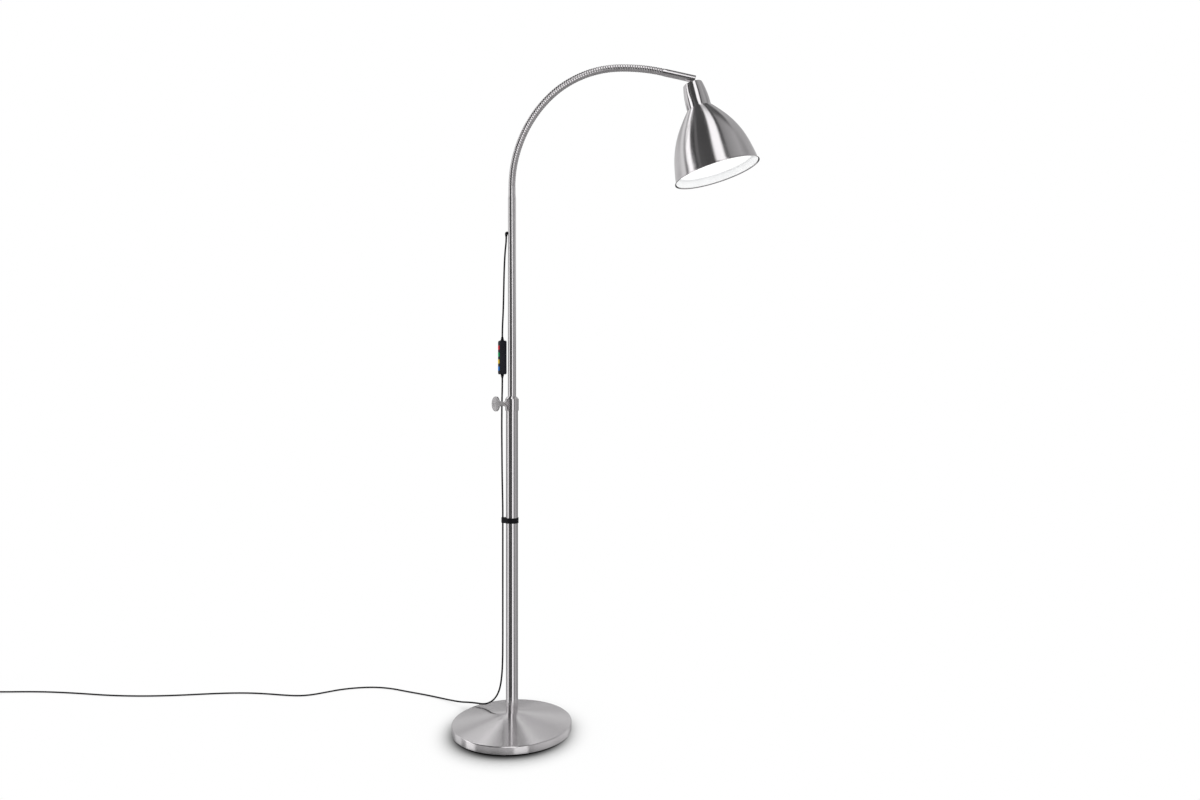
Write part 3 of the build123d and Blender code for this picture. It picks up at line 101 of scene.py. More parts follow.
COIL_RADIUS = 24.0
COIL_STEP = 4.2
COIL_LOW = 3.45


# ---- building helpers ----------------------------------------------------------------------
def place_object(name, data):
    piece = bpy.data.objects.new(name, data)
    bpy.context.scene.collection.objects.link(piece)
    return piece


def axes(origin, x_axis, z_axis):
    """Matrix of a frame given in millimetres by its origin, X and Z."""
    z = Vector(z_axis).normalized()
    x = Vector(x_axis).normalized()
    y = z.cross(x)
    turn = Matrix((x, y, z)).transposed().to_4x4()
    return Matrix.Translation(Vector(origin) * MM) @ turn


def smooth_mesh(mesh, angle=32.0):
    mesh.shade_smooth()
    mesh.set_sharp_from_angle(angle=radians(angle))


def supported(profile, mark=None):
    """The profile with a point just inside both ends of every long span.

    If a mark is given, the place that it moves to comes back too."""
    points, place = [], None
    for i, here in enumerate(profile):
        if i == mark:
            place = len(points)
        points.append(here)
        after = profile[(i + 1) % len(profile)]
        span = Vector(after) - Vector(here)
        if span.length > 4.0 and (here[0] > 1e-6 or after[0] > 1e-6):
            for share in (0.5 / span.length, 1 - 0.5 / span.length):
                spot = Vector(here) + span * share
                points.append((spot.x, spot.y))
    return points if mark is None else (points, place)


def lathe(name, profile, where=Matrix.Identity(4), sides=96, materials=(), inside_from=None):
    """Closed turned piece from (radius, height) points in mm, with a UV map: round in U, metres in V.

    inside_from is the first span that takes the second material."""
    profile = supported(profile, inside_from)
    if inside_from is not None:
        profile, inside_from = profile
    mesh = bpy.data.meshes.new(name)
    work = bmesh.new()
    uv = work.loops.layers.uv.new("turned")
    rings, run, runs = [], 0.0, []
    for i, (radius, height) in enumerate(profile):
        if i:
            run += sqrt((radius - profile[i - 1][0]) ** 2 + (height - profile[i - 1][1]) ** 2) * MM
        runs.append(run)
        if radius < 1e-6:
            rings.append([work.verts.new((0, 0, height * MM))] * sides)
            continue
        rings.append([
            work.verts.new((radius * MM * cos(2 * pi * j / sides), radius * MM * sin(2 * pi * j / sides),
                            height * MM))
            for j in range(sides)
        ])
    for i in range(len(profile)):
        after = (i + 1) % len(profile)
        if profile[i][0] < 1e-6 and profile[after][0] < 1e-6:
            continue
        far = runs[after] if after else run + 0.01
        for j in range(sides):
            k = (j + 1) % sides
            corners = [(rings[i][j], j, runs[i]), (rings[i][k], j + 1, runs[i]),
                       (rings[after][k], j + 1, far), (rings[after][j], j, far)]
            kept = [c for n, c in enumerate(corners) if all(c[0] is not d[0] for d in corners[:n])]
            face = work.faces.new([c[0] for c in kept])
            for loop, corner in zip(face.loops, kept):
                loop[uv].uv = (corner[1] / sides, corner[2])
            if inside_from is not None and i >= inside_from:
                face.material_index = 1
    bmesh.ops.recalc_face_normals(work, faces=work.faces)
    work.transform(where)
    work.to_mesh(mesh)
    work.free()
    for material in materials:
        mesh.materials.append(material)
    smooth_mesh(mesh)
    return place_object(name, mesh)


def arc_points(start, heading, radii, turns, steps, offset=0.0):
    """(along, across) points down tangent arcs that bend towards the axis; heading is degrees off the axis."""
    angle = radians(heading)
    along, across = start[0] + offset * sin(angle), start[1] - offset * cos(angle)
    points = [(along, across)]
    for radius, turn in zip(radii, turns):
        for _ in range(steps):
            part = radians(turn) / steps
            chord = 2 * (radius - offset) * sin(part / 2)
            along += chord * cos(angle - part / 2)
            across += chord * sin(angle - part / 2)
            angle -= part
            points.append((along, across))
    return points


def rounded(corner, before, after, radius, steps=4):
    """Points round a profile's corner."""
    c, a, b = Vector(corner), Vector(before), Vector(after)
    to_a, to_b = (a - c).normalized(), (b - c).normalized()
    start, end = c + to_a * radius, c + to_b * radius
    points = []
    for i in range(steps + 1):
        t = i / steps
        p = start * (1 - t) ** 2 + c * 2 * t * (1 - t) + end * t**2
        points.append((p.x, p.y))
    return points


def softened(profile, radius, steps=3):
    """A closed profile with every corner rounded."""
    points = []
    for i, corner in enumerate(profile):
        before, after = profile[i - 1], profile[(i + 1) % len(profile)]
        if corner[0] < 1e-6:
            points.append(corner)
            continue
        room = min((Vector(corner) - Vector(before)).length, (Vector(corner) - Vector(after)).length)
        points += rounded(corner, before, after, min(radius, 0.45 * room), steps)
    return points


def finished_copy(node, name, bevel=0.0, angle=32.0):
    """The node's own solid with its edges broken, as a new piece at the origin."""
    mesh = NODES[node].data.copy()
    mesh.name = name
    work = bmesh.new()
    work.from_mesh(mesh)
    bmesh.ops.remove_doubles(work, verts=work.verts, dist=1e-6)
    bmesh.ops.dissolve_limit(work, angle_limit=radians(0.5), verts=work.verts, edges=work.edges)
    work.to_mesh(mesh)
    work.free()
    mesh.materials.clear()
    piece = place_object(name, mesh)
    if bevel:
        edge = piece.modifiers.new("broken edges", "BEVEL")
        edge.width = bevel * MM
        edge.segments = 2
        edge.limit_method = "ANGLE"
        edge.angle_limit = radians(40)
        baked(piece)
    smooth_mesh(piece.data, angle)
    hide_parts(node)
    return piece


def baked(piece):
    """Apply the piece's modifiers to its mesh."""
    view = bpy.context.evaluated_depsgraph_get()
    view.update()
    mesh = bpy.data.meshes.new_from_object(piece.evaluated_get(view), depsgraph=view)
    piece.modifiers.clear()
    old = piece.data
    piece.data = mesh
    if old.users == 0:
        name = old.name
        (bpy.data.meshes if isinstance(old, bpy.types.Mesh) else bpy.data.curves).remove(old)
        mesh.name = name
    return piece


def paint(piece, *materials):
    piece.data.materials.clear()
    for material in materials:
        piece.data.materials.append(material)
    return piece


def fit(piece, body, slot, *nodes):
    """Attach the finished piece to its CAD body and hide the nodes that it stands for. The slot is not used."""
    if nodes:
        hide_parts(*nodes)
    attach(piece, body)
    return piece


# ---- camera --------------------------------------------------------------------------------
def viewer():
    data = bpy.data.cameras.new("viewer")
    data.lens = 24.0
    data.sensor_width = 36.0
    eye = place_object("viewer", data)
    eye.location = (0.207, -1.882, 0.776)
    eye.rotation_euler = (radians(90), 0, 0)
    bpy.context.scene.camera = eye


# ---- finishes ------------------------------------------------------------------------------
def group_tree(name, inputs, outputs):
    tree = bpy.data.node_groups.new(name, "ShaderNodeTree")
    for label, kind, value in inputs:
        socket = tree.interface.new_socket(name=label, in_out="INPUT", socket_type=kind)
        if value is not None:
            socket.default_value = value
    for label, kind in outputs:
        tree.interface.new_socket(name=label, in_out="OUTPUT", socket_type=kind)
    return tree, tree.nodes.new("NodeGroupInput"), tree.nodes.new("NodeGroupOutput")


def add(tree, kind, settings=(), **links):
    """A node with its settings; links go to inputs by name or number and hold values or sockets."""
    node = tree.nodes.new(kind)
    for key, value in dict(settings).items():
        setattr(node, key, value)
    for key, value in links.items():
        numbered = key[0] == "_" and key[1:].isdigit()
        socket = node.inputs[int(key[1:]) if numbered else key.replace("_", " ")]
        if isinstance(value, bpy.types.NodeSocket):
            tree.links.new(value, socket)
        else:
            socket.default_value = value
    return node


def sums(tree, operation, a, b=0.0, c=0.0):
    return add(tree, "ShaderNodeMath", {"operation": operation}, _0=a, _1=b, _2=c).outputs[0]


def spun_lines_group():
    """Fine lathe lines: noise drawn out along U of the turned UV map."""
    tree, given, result = group_tree(
        "spun_lines",
        [("Lines", "NodeSocketFloat", 2600.0), ("Wander", "NodeSocketFloat", 1.0)],
        [("Line", "NodeSocketFloat"), ("Cloud", "NodeSocketFloat")],
    )
    uv = add(tree, "ShaderNodeUVMap", {"uv_map": "turned"})
    split = add(tree, "ShaderNodeSeparateXYZ", Vector=uv.outputs[0])
    across = sums(tree, "MULTIPLY", split.outputs[1], given.outputs["Lines"])
    # the round coordinate is folded so that the pattern meets itself at the seam
    fold = sums(tree, "PINGPONG", split.outputs[0], 0.5)
    along = sums(tree, "MULTIPLY", fold, given.outputs["Wander"])
    where = add(tree, "ShaderNodeCombineXYZ", X=along, Y=across)
    fine = add(tree, "ShaderNodeTexNoise", Vector=where.outputs[0], Scale=1.0, Detail=3.0, Roughness=0.6)
    slow = sums(tree, "MULTIPLY", across, 0.012)
    drift = add(tree, "ShaderNodeCombineXYZ", X=along, Y=slow)
    cloud = add(tree, "ShaderNodeTexNoise", Vector=drift.outputs[0], Scale=1.4, Detail=2.0)
    tree.links.new(fine.outputs[0], result.inputs["Line"])
    tree.links.new(cloud.outputs[0], result.inputs["Cloud"])
    return tree


def grain_group():
    """Moulded or cast surface: fine pits and a slow mottle in object space."""
    tree, given, result = group_tree(
        "grain",
        [("Pits per metre", "NodeSocketFloat", 900.0), ("Patches per metre", "NodeSocketFloat", 30.0)],
        [("Pit", "NodeSocketFloat"), ("Patch", "NodeSocketFloat")],
    )
    spot = add(tree, "ShaderNodeTexCoord").outputs["Object"]
    pits = add(tree, "ShaderNodeTexNoise", Vector=spot, Scale=given.outputs[0], Detail=3.0, Roughness=0.65)
    patches = add(tree, "ShaderNodeTexNoise", Vector=spot, Scale=given.outputs[1], Detail=2.0)
    tree.links.new(pits.outputs[0], result.inputs["Pit"])
    tree.links.new(patches.outputs[0], result.inputs["Patch"])
    return tree


def blank_material(name):
    material = bpy.data.materials.new(name)
    material.use_nodes = True
    tree = material.node_tree
    return material, tree, tree.nodes["Principled BSDF"]


def spread(tree, value, low, high, from_low=0.3, from_high=0.7):
    """Map a noise value to a range."""
    return add(tree, "ShaderNodeMapRange", _0=value, _1=from_low, _2=from_high, _3=low, _4=high).outputs[0]


def mixed(tree, factor, dark, light):
    node = add(tree, "ShaderNodeMix", {"data_type": "RGBA"})
    tree.links.new(factor, node.inputs[0])
    node.inputs[6].default_value = (*dark, 1)
    node.inputs[7].default_value = (*light, 1)
    return node.outputs[2]


def bumped(tree, shader, height, depth, strength=1.0):
    bump = add(tree, "ShaderNodeBump", Height=height, Strength=strength, Distance=depth)
    tree.links.new(bump.outputs[0], shader.inputs["Normal"])


def spun_steel(name, group, roughness, anisotropy, lines, depth, colour=(0.86, 0.835, 0.85)):
    """Steel turned and brushed on a lathe: the lines run round the piece."""
    material, tree, shader = blank_material(name)
    brush = add(tree, "ShaderNodeGroup", {"node_tree": group}, Lines=lines)
    line = spread(tree, brush.outputs["Line"], 0.0, 1.0)
    darker = tuple(0.975 * c for c in colour)
    tree.links.new(mixed(tree, line, darker, colour), shader.inputs["Base Color"])
    rough = sums(tree, "ADD", spread(tree, brush.outputs["Line"], roughness * 0.97, roughness * 1.04),
                 spread(tree, brush.outputs["Cloud"], -0.02, 0.02))
    tree.links.new(rough, shader.inputs["Roughness"])
    shader.inputs["Metallic"].default_value = 1.0
    shader.inputs["Anisotropic"].default_value = anisotropy
    shader.inputs["Anisotropic Rotation"].default_value = 0.25
    tangent = add(tree, "ShaderNodeTangent", {"direction_type": "UV_MAP", "uv_map": "turned"})
    tree.links.new(tangent.outputs[0], shader.inputs["Tangent"])
    bumped(tree, shader, brush.outputs["Line"], depth, 0.6)
    return material


def plain_metal(name, group, colour, roughness, pits, depth):
    material, tree, shader = blank_material(name)
    grain = add(tree, "ShaderNodeGroup", {"node_tree": group}, _0=pits, _1=60.0)
    patch = spread(tree, grain.outputs["Patch"], 0.0, 1.0)
    darker = tuple(0.86 * c for c in colour)
    tree.links.new(mixed(tree, patch, darker, colour), shader.inputs["Base Color"])
    tree.links.new(spread(tree, grain.outputs["Pit"], roughness * 0.85, roughness * 1.2), shader.inputs["Roughness"])
    shader.inputs["Metallic"].default_value = 1.0
    bumped(tree, shader, grain.outputs["Pit"], depth, 0.5)
    return material


def moulded(name, group, colour, roughness, pits=1500.0, depth=0.00004, glow=0.0, specular=0.5, patchy=0.88):
    """Plastic, rubber or enamel, with a fine skin and a slow change of tone."""
    material, tree, shader = blank_material(name)
    grain = add(tree, "ShaderNodeGroup", {"node_tree": group}, _0=pits, _1=45.0)
    patch = spread(tree, grain.outputs["Patch"], 0.0, 1.0)
    darker = tuple(patchy * c for c in colour)
    shade = mixed(tree, patch, darker, colour)
    tree.links.new(shade, shader.inputs["Base Color"])
    tree.links.new(spread(tree, grain.outputs["Pit"], roughness * 0.88, roughness * 1.15), shader.inputs["Roughness"])
    shader.inputs["Specular IOR Level"].default_value = specular
    if glow:
        tree.links.new(shade, shader.inputs["Emission Color"])
        shader.inputs["Emission Strength"].default_value = glow
    bumped(tree, shader, grain.outputs["Pit"], depth, 0.6)
    return material


def all_finishes():
    lines, grain = spun_lines_group(), grain_group()
    return {
        "disc_steel": spun_steel("disc_steel", lines, 0.25, 1.0, 900.0, 0.000002),
        "shade_steel": spun_steel("shade_steel", lines, 0.19, 0.9, 2600.0, 0.000008),
        "satin_steel": spun_steel("satin_steel", lines, 0.13, 0.7, 1800.0, 0.000001),
        "knob_steel": spun_steel("knob_steel", lines, 0.24, 0.9, 3000.0, 0.000003, (0.74, 0.72, 0.73)),
        "hose_steel": plain_metal("hose_steel", grain, (0.84, 0.81, 0.825), 0.15, 1600.0, 0.000001),
        "bright_steel": plain_metal("bright_steel", grain, (0.86, 0.83, 0.83), 0.12, 1600.0, 0.000003),
        "cast_iron": plain_metal("cast_iron", grain, (0.16, 0.15, 0.15), 0.62, 500.0, 0.0002),
        "sink_aluminium": plain_metal("sink_aluminium", grain, (0.80, 0.81, 0.82), 0.38, 1300.0, 0.00002),
        "pin_brass": plain_metal("pin_brass", grain, (0.83, 0.66, 0.36), 0.22, 1400.0, 0.00001),
        "white_enamel": moulded("white_enamel", grain, (0.95, 0.955, 0.96), 0.28, 700.0, 0.00001, patchy=0.985),
        "opal_diffuser": moulded("opal_diffuser", grain, (0.95, 0.95, 0.945), 0.5, 900.0, 0.00002,
                                 glow=0.35, patchy=0.98),
        "black_rubber": moulded("black_rubber", grain, (0.006, 0.006, 0.008), 0.5, 1500.0, 0.00003,
                                specular=0.14, patchy=0.6),
        "black_plastic": moulded("black_plastic", grain, (0.010, 0.010, 0.019), 0.42, 2200.0, 0.00002,
                                 specular=0.25, patchy=0.6),
        "nylon": moulded("nylon", grain, (0.80, 0.79, 0.74), 0.45, 1200.0),
        "circuit_board": moulded("circuit_board", grain, (0.02, 0.16, 0.07), 0.36, 900.0),
        "led_phosphor": moulded("led_phosphor", grain, (0.92, 0.80, 0.28), 0.4, 1800.0),
        "red_key": moulded("red_key", grain, (0.76, 0.015, 0.04), 0.4, 1800.0, 0.00001, specular=0.2),
        "green_key": moulded("green_key", grain, (0.0, 0.40, 0.14), 0.4, 1800.0, 0.00001, specular=0.2),
        "yellow_key": moulded("yellow_key", grain, (0.80, 0.55, 0.02), 0.4, 1800.0, 0.00001, specular=0.2),
        "blue_key": moulded("blue_key", grain, (0.0, 0.20, 0.66), 0.4, 1800.0, 0.00001, specular=0.2),
    }


FINISH = all_finishes()


def dress_kept_nodes():
    """Every node that is still shown takes the finish of its slot."""
    for entry in frame["record"]["subparts"]:
        node = NODES[entry["node"]]
        while len(node.material_slots) < 1:
            node.data.materials.append(None)
        for slot in node.material_slots:
            slot.material = FINISH[entry["material_slot"]]


# ---- cords ---------------------------------------------------------------------------------
def cord_line(name, route, radius):
    curve = bpy.data.curves.new(name, "CURVE")
    curve.dimensions = "3D"
    spline = curve.splines.new("NURBS")
    spline.points.add(len(route) - 1)
    for knot, (x, y, z) in zip(spline.points, route):
        knot.co = (x * MM, y * MM, z * MM, 1)
    spline.order_u = 3
    spline.use_endpoint_u = True
    spline.resolution_u = 8
    curve.bevel_depth = radius * MM
    curve.bevel_resolution = 4
    curve.use_fill_caps = radius > 0
    return place_object(name, curve)


def coil_route():
    """Three turns that wind in, climb half-way and wind out on top, then the run to the power supply."""
    route = []
    turns, per_turn = 3, 14
    for i in range(turns * per_turn + 1):
        turn = i / per_turn
        radius = COIL_RADIUS - COIL_STEP * min(turn, turns - turn)
        climb = min(1.0, max(0.0, (turn - 1.25) / 0.5))
        angle = pi / 2 + 2 * pi * turn
        route.append((COIL_CENTRE[0] + radius * cos(angle), COIL_CENTRE[1] + radius * sin(angle),
                      COIL_LOW + COIL_STEP * climb))
    top = COIL_LOW + COIL_STEP
    # the cord runs on inside its relief and into the housing
    return route + [(-1437, 236, top), (-1448, 236, top), (-1459, 236, top), (-1476, 236, top), (-1500, 236, top)]


def line_points(route):
    """Points read from the cord's smooth line."""
    guide = cord_line("guide", route, 0)
    view = bpy.context.evaluated_depsgraph_get()
    mesh = bpy.data.meshes.new_from_object(guide.evaluated_get(view), depsgraph=view)
    points = [v.co.copy() for v in mesh.vertices]
    curve = guide.data
    bpy.data.objects.remove(guide)
    bpy.data.curves.remove(curve)
    bpy.data.meshes.remove(mesh)
    return points


def skinned(name, work, rings, angle):
    """A closed skin over a row of rings, as a new piece."""
    sides = len(rings[0])
    for first, second in zip(rings, rings[1:]):
        for j in range(sides):
            k = (j + 1) % sides
            work.faces.new((first[j], first[k], second[k], second[j]))
    work.faces.new(rings[0])
    work.faces.new(rings[-1])
    bmesh.ops.recalc_face_normals(work, faces=work.faces)
    mesh = bpy.data.meshes.new(name)
    work.to_mesh(mesh)
    work.free()
    smooth_mesh(mesh, angle)
    return place_object(name, mesh)


def cord_tube(name, points, sides=16):
    """Round tube along nearly upright points."""
    work = bmesh.new()
    rings = []
    for i, point in enumerate(points):
        along = (points[min(i + 1, len(points) - 1)] - points[max(i - 1, 0)]).normalized()
        side = Vector((0, 1, 0)).cross(along).normalized()
        up = along.cross(side)
        rings.append([
            work.verts.new(point + (side * cos(2 * pi * j / sides) + up * sin(2 * pi * j / sides)) * CORD_RADIUS * MM)
            for j in range(sides)
        ])
    return skinned(name, work, rings, 60)


def hang_cords():
    upper = cord_line("cord_from_pole", UPPER_ROUTE, CORD_RADIUS)
    paint(upper, FINISH["black_rubber"])
    fit(upper, "upper_pole", "black_rubber", "cord_upper")

    points = line_points(MID_ROUTE)
    split = min(range(len(points)), key=lambda i: abs(points[i].z - CORD_SPLIT * MM))
    swivelling, sliding = points[: split + 1], points[split:]
    twist = paint(cord_tube("cord_under_controller", swivelling), FINISH["black_rubber"])
    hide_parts("cord_mid")
    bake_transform(twist)
    slack = paint(cord_tube("cord_to_strap", sliding), FINISH["black_rubber"])
    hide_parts("cord_mid")
    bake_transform(slack)

    floor = cord_line("cord_over_floor", FLOOR_ROUTE + coil_route(), CORD_RADIUS)
    paint(floor, FINISH["black_rubber"])
    fit(floor, "root", "black_rubber", "cord_lower", "cord_coil")
    return floor


# ---- base ----------------------------------------------------------------------------------
BASE_RADIUS = 140.0
RIM_HEIGHT = 20.0
CONE_RISE = 23.0


def cone_height(radius):
    """Top of the base's cone, which falls evenly from the tube to the rim."""
    return RIM_HEIGHT + CONE_RISE * (BASE_RADIUS - radius) / (BASE_RADIUS - TUBE_RADIUS)


def base():
    hole = TUBE_RADIUS + 0.05
    wall = 1.0
    rim = rounded((BASE_RADIUS, RIM_HEIGHT), (BASE_RADIUS, 3), (hole, cone_height(hole)), 2.0, 8)
    cone = [(r, cone_height(r)) for r in (110, 80, 50, 28, hole)]
    under = [(hole, cone_height(hole) - wall), (138.2, cone_height(139) - wall), (139, 17.5)]
    skirt = [(BASE_RADIUS, 3.0), (BASE_RADIUS, 3.6), (BASE_RADIUS, 11)]
    profile = skirt + rim + cone + under + [(139, 3.0)]
    cover = lathe("base_dish", profile, sides=256, materials=[FINISH["disc_steel"]])
    fit(cover, "root", "satin_steel", "base_cover")
    pad = softened([(0, 0), (136, 0), (136, 3), (0, 3)], 0.6)
    foot = lathe("foot_disc", pad, sides=128, materials=[FINISH["black_rubber"]])
    fit(foot, "root", "black_rubber", "foot_pad")


# ---- poles ---------------------------------------------------------------------------------
def tube_profile(radius, wall, bottom, top):
    inner = radius - wall
    ends = [(inner, bottom), (radius, bottom)]
    steps = [(radius, bottom + (top - bottom) * i / 6) for i in range(1, 6)]
    return ends + steps + rounded((radius, top), (radius, bottom), (inner, top), 0.3, 2) + [(inner, top)]


def poles():
    steel = [FINISH["satin_steel"]]
    fit(lathe("lower_pole", tube_profile(TUBE_RADIUS, 1.2, TUBE_FOOT, TUBE_MOUTH), sides=96, materials=steel),
        "root", "satin_steel", "lower_tube")
    fit(lathe("upper_pole_tube", tube_profile(POLE_RADIUS, 1.0, POLE_FOOT, POLE_TOP), sides=80, materials=steel),
        "upper_pole", "satin_steel", "upper_tube")
    ferrule = [(7.25, POLE_TOP - 18), (8.45, POLE_TOP - 18), (8.45, POLE_TOP), (8.6, POLE_TOP), (8.9, POLE_TOP + 0.3),
               (8.9, POLE_TOP + 4.9), (8.62, POLE_TOP + 5.4), (8.5, 1276.2), (8.2, 1277), (7.25, 1277)]
    fit(lathe("pole_ferrule", ferrule, sides=80, materials=steel), "upper_pole", "satin_steel", "neck_ferrule")


CLAMP_HEIGHT = 767
CLAMP_BEARING = radians(216)  # the side that the knob points to, from +X towards +Y
CLAMP = axes((0, 0, CLAMP_HEIGHT), (0, 0, 1), (cos(CLAMP_BEARING), sin(CLAMP_BEARING), 0))
THREAD_PITCH = 1.25


def clamp():
    steel = FINISH["satin_steel"]
    bore = 10.2
    outline = [(14.05, 751), (15.2, 751), (15.5, 751.3), (15.5, 778.6), (15.3, 779.2), (11.6, 783.7), (11.1, 784),
               (bore, 784), (bore, 761.05), (14.05, 761.05)]
    collar = lathe("collar", outline, sides=96, materials=[steel])
    boss_profile = [(4.05, 14.8), (7, 14.8), (7, 18.4), (6.83, 18.83), (6.4, 19), (4.05, 19)]
    boss = lathe("boss", boss_profile, CLAMP, 64, [steel])
    join(collar, boss)
    fit(collar, "root", "satin_steel", "clamp_collar")
    knob_profile = [(0, 38), (4.05, 38), (4.05, 24), (5.4, 24), (5.6, 24.2), (5.75, 28), (6.0, 30), (6.7, 34.5),
                    (8, 38.3), (9.2, 39.8), (11, 40.5)]
    knob_profile += rounded((17.5, 40.5), (11, 40.5), (17.5, 45), 1.2, 4)
    knob_profile += rounded((17.5, 45), (17.5, 40.5), (12, 44.6), 1.5, 5)
    knob_profile += [(13, 44.62), (8, 44.38), (3, 44.24), (0, 44.2)]
    knob = lathe("clamp_knob_turned", knob_profile, CLAMP, 96, [FINISH["knob_steel"]])
    fit(knob, "clamp_handle", "satin_steel", "clamp_knob")
    thread = [(0, 12.45), (3.4, 12.45)]
    crest = 13.2
    while crest < 37:
        thread += [(3.95, crest), (3.95, crest + 0.25), (3.45, crest + 0.6), (3.45, crest + 0.85)]
        crest += THREAD_PITCH
    thread += [(3.45, 38), (0, 38)]
    fit(lathe("clamp_thread", thread, CLAMP, 40, [FINISH["bright_steel"]]), "clamp_handle", "bright_steel", "clamp_screw")


def join(first, *others):
    """Several shells as one piece."""
    work = bmesh.new()
    work.from_mesh(first.data)
    for other in others:
        work.from_mesh(other.data)
        mesh = other.data
        bpy.data.objects.remove(other)
        bpy.data.meshes.remove(mesh)
    work.to_mesh(first.data)
    work.free()
    smooth_mesh(first.data)
    return first


def strap():
    piece = finished_copy("cord_clip", "cord_strap", 0.5, 40)
    fit(paint(piece, FINISH["black_rubber"]), "root", "black_rubber")


def grommet():
    """Rubber elbow: a rounded shoulder at the tube that narrows down to the cord."""
    stations = [((-8.9, 1168.2), 3.1), ((-9.8, 1168.4), 3.5), ((-11.2, 1168.6), 3.9), ((-12.5, 1168.2), 3.9),
                ((-13.2, 1166.9), 3.6), ((-13.5, 1165.2), 3.2), ((-13.6, 1163.0), 2.8), ((-13.6, 1161.0), 2.55),
                ((-13.6, 1160.2), 2.3)]
    work = bmesh.new()
    sides = 28
    rings = []
    spots = [Vector((x, 0, z)) for (x, z), _ in stations]
    for i, (spot, (_, radius)) in enumerate(zip(spots, stations)):
        along = (spots[min(i + 1, len(spots) - 1)] - spots[max(i - 1, 0)]).normalized()
        side = along.cross(Vector((0, 1, 0))).normalized()
        rings.append([
            work.verts.new((spot + side * radius * cos(2 * pi * j / sides) + Vector((0, 1, 0)) * 0.9 * radius
                            * sin(2 * pi * j / sides)) * MM)
            for j in range(sides)
        ])
    elbow = paint(skinned("cord_elbow", work, rings, 50), FINISH["black_rubber"])
    fit(elbow, "upper_pole", "black_rubber", "cord_grommet")


# ---- gooseneck -----------------------------------------------------------------------------
def neck_point(distance):
    """Place and heading (radians from plumb) at a distance along the neck, in millimetres."""
    x, z, heading = 0.0, NECK_START + min(0.0, distance), 0.0
    left = max(0.0, distance)
    for radius, turn in zip(NECK_RADII, NECK_TURNS):
        part = min(left / radius, radians(turn))
        chord = 2 * radius * sin(part / 2)
        x += chord * sin(heading + part / 2)
        z += chord * cos(heading + part / 2)
        heading += part
        left -= part * radius
    return Vector((x + left * sin(heading), 0, z + left * cos(heading))), heading


def ribbed_hose_tree():
    """Wound hose: a curve's radius swells and narrows at every rib."""
    tree = bpy.data.node_groups.new("ribbed_hose", "GeometryNodeTree")
    for label, kind in (
        ("Geometry", "NodeSocketGeometry"), ("Rib Pitch", "NodeSocketFloat"), ("Rib Radius", "NodeSocketFloat"),
        ("Groove Radius", "NodeSocketFloat"), ("Steps per Rib", "NodeSocketInt"), ("Ribs", "NodeSocketInt"),
        ("Sides", "NodeSocketInt"), ("Finish", "NodeSocketMaterial"),
    ):
        tree.interface.new_socket(name=label, in_out="INPUT", socket_type=kind)
    tree.interface.new_socket(name="Geometry", in_out="OUTPUT", socket_type="NodeSocketGeometry")
    given, result = tree.nodes.new("NodeGroupInput"), tree.nodes.new("NodeGroupOutput")
    steps = sums(tree, "MULTIPLY_ADD", given.outputs["Steps per Rib"], given.outputs["Ribs"], 1.0)
    even = add(tree, "GeometryNodeResampleCurve", {"mode": "COUNT"}, Curve=given.outputs["Geometry"], Count=steps)
    along = add(tree, "GeometryNodeSplineParameter").outputs["Length"]
    share = sums(tree, "FRACT", sums(tree, "DIVIDE", along, given.outputs["Rib Pitch"]))
    fold = sums(tree, "PINGPONG", share, 0.5)
    swell = add(tree, "ShaderNodeMapRange", {"interpolation_type": "SMOOTHSTEP"}, _0=fold, _1=0.03, _2=0.16,
                _3=given.outputs["Groove Radius"], _4=given.outputs["Rib Radius"]).outputs[0]
    circle = add(tree, "GeometryNodeCurvePrimitiveCircle", Resolution=given.outputs["Sides"], Radius=1.0)
    hose = add(tree, "GeometryNodeCurveToMesh", Curve=even.outputs[0], Profile_Curve=circle.outputs[0], Scale=swell,
               Fill_Caps=True)
    whole = add(tree, "GeometryNodeRealizeInstances", Geometry=hose.outputs[0])
    painted = add(tree, "GeometryNodeSetMaterial", Geometry=whole.outputs[0], Material=given.outputs["Finish"])
    tree.links.new(painted.outputs[0], result.inputs[0])
    return tree


def hose_piece(tree, name, start, end, ribs):
    """One stretch of the hose between two distances along it."""
    curve = bpy.data.curves.new(name, "CURVE")
    curve.dimensions = "3D"
    spline = curve.splines.new("POLY")
    count = max(4, int(abs(end - start) / 1.5))
    spline.points.add(count)
    for i, knot in enumerate(spline.points):
        spot, _ = neck_point(start + (end - start) * i / count)
        knot.co = (*(spot * MM), 1)
    piece = place_object(name, curve)
    made = piece.modifiers.new("ribs", "NODES")
    made.node_group = tree
    inputs = {item.name: item.identifier for item in tree.interface.items_tree if item.in_out == "INPUT"}
    made[inputs["Rib Pitch"]] = abs(end - start) / ribs * MM
    made[inputs["Rib Radius"]] = RIB_RADIUS * MM
    made[inputs["Groove Radius"]] = GROOVE_RADIUS * MM
    made[inputs["Steps per Rib"]] = RIB_STEPS
    made[inputs["Ribs"]] = ribs
    made[inputs["Sides"]] = HOSE_SIDES
    made[inputs["Finish"]] = FINISH["hose_steel"]
    bpy.context.view_layer.update()
    view = bpy.context.evaluated_depsgraph_get()
    mesh = bpy.data.meshes.new_from_object(piece.evaluated_get(view), depsgraph=view)
    bpy.data.objects.remove(piece)
    bpy.data.curves.remove(curve)
    work = bmesh.new()
    work.from_mesh(mesh)
    bmesh.ops.remove_doubles(work, verts=work.verts, dist=1e-7)
    bmesh.ops.recalc_face_normals(work, faces=work.faces)
    work.to_mesh(mesh)
    work.free()
    mesh.name = name
    smooth_mesh(mesh, 70)
    return place_object(name, mesh)


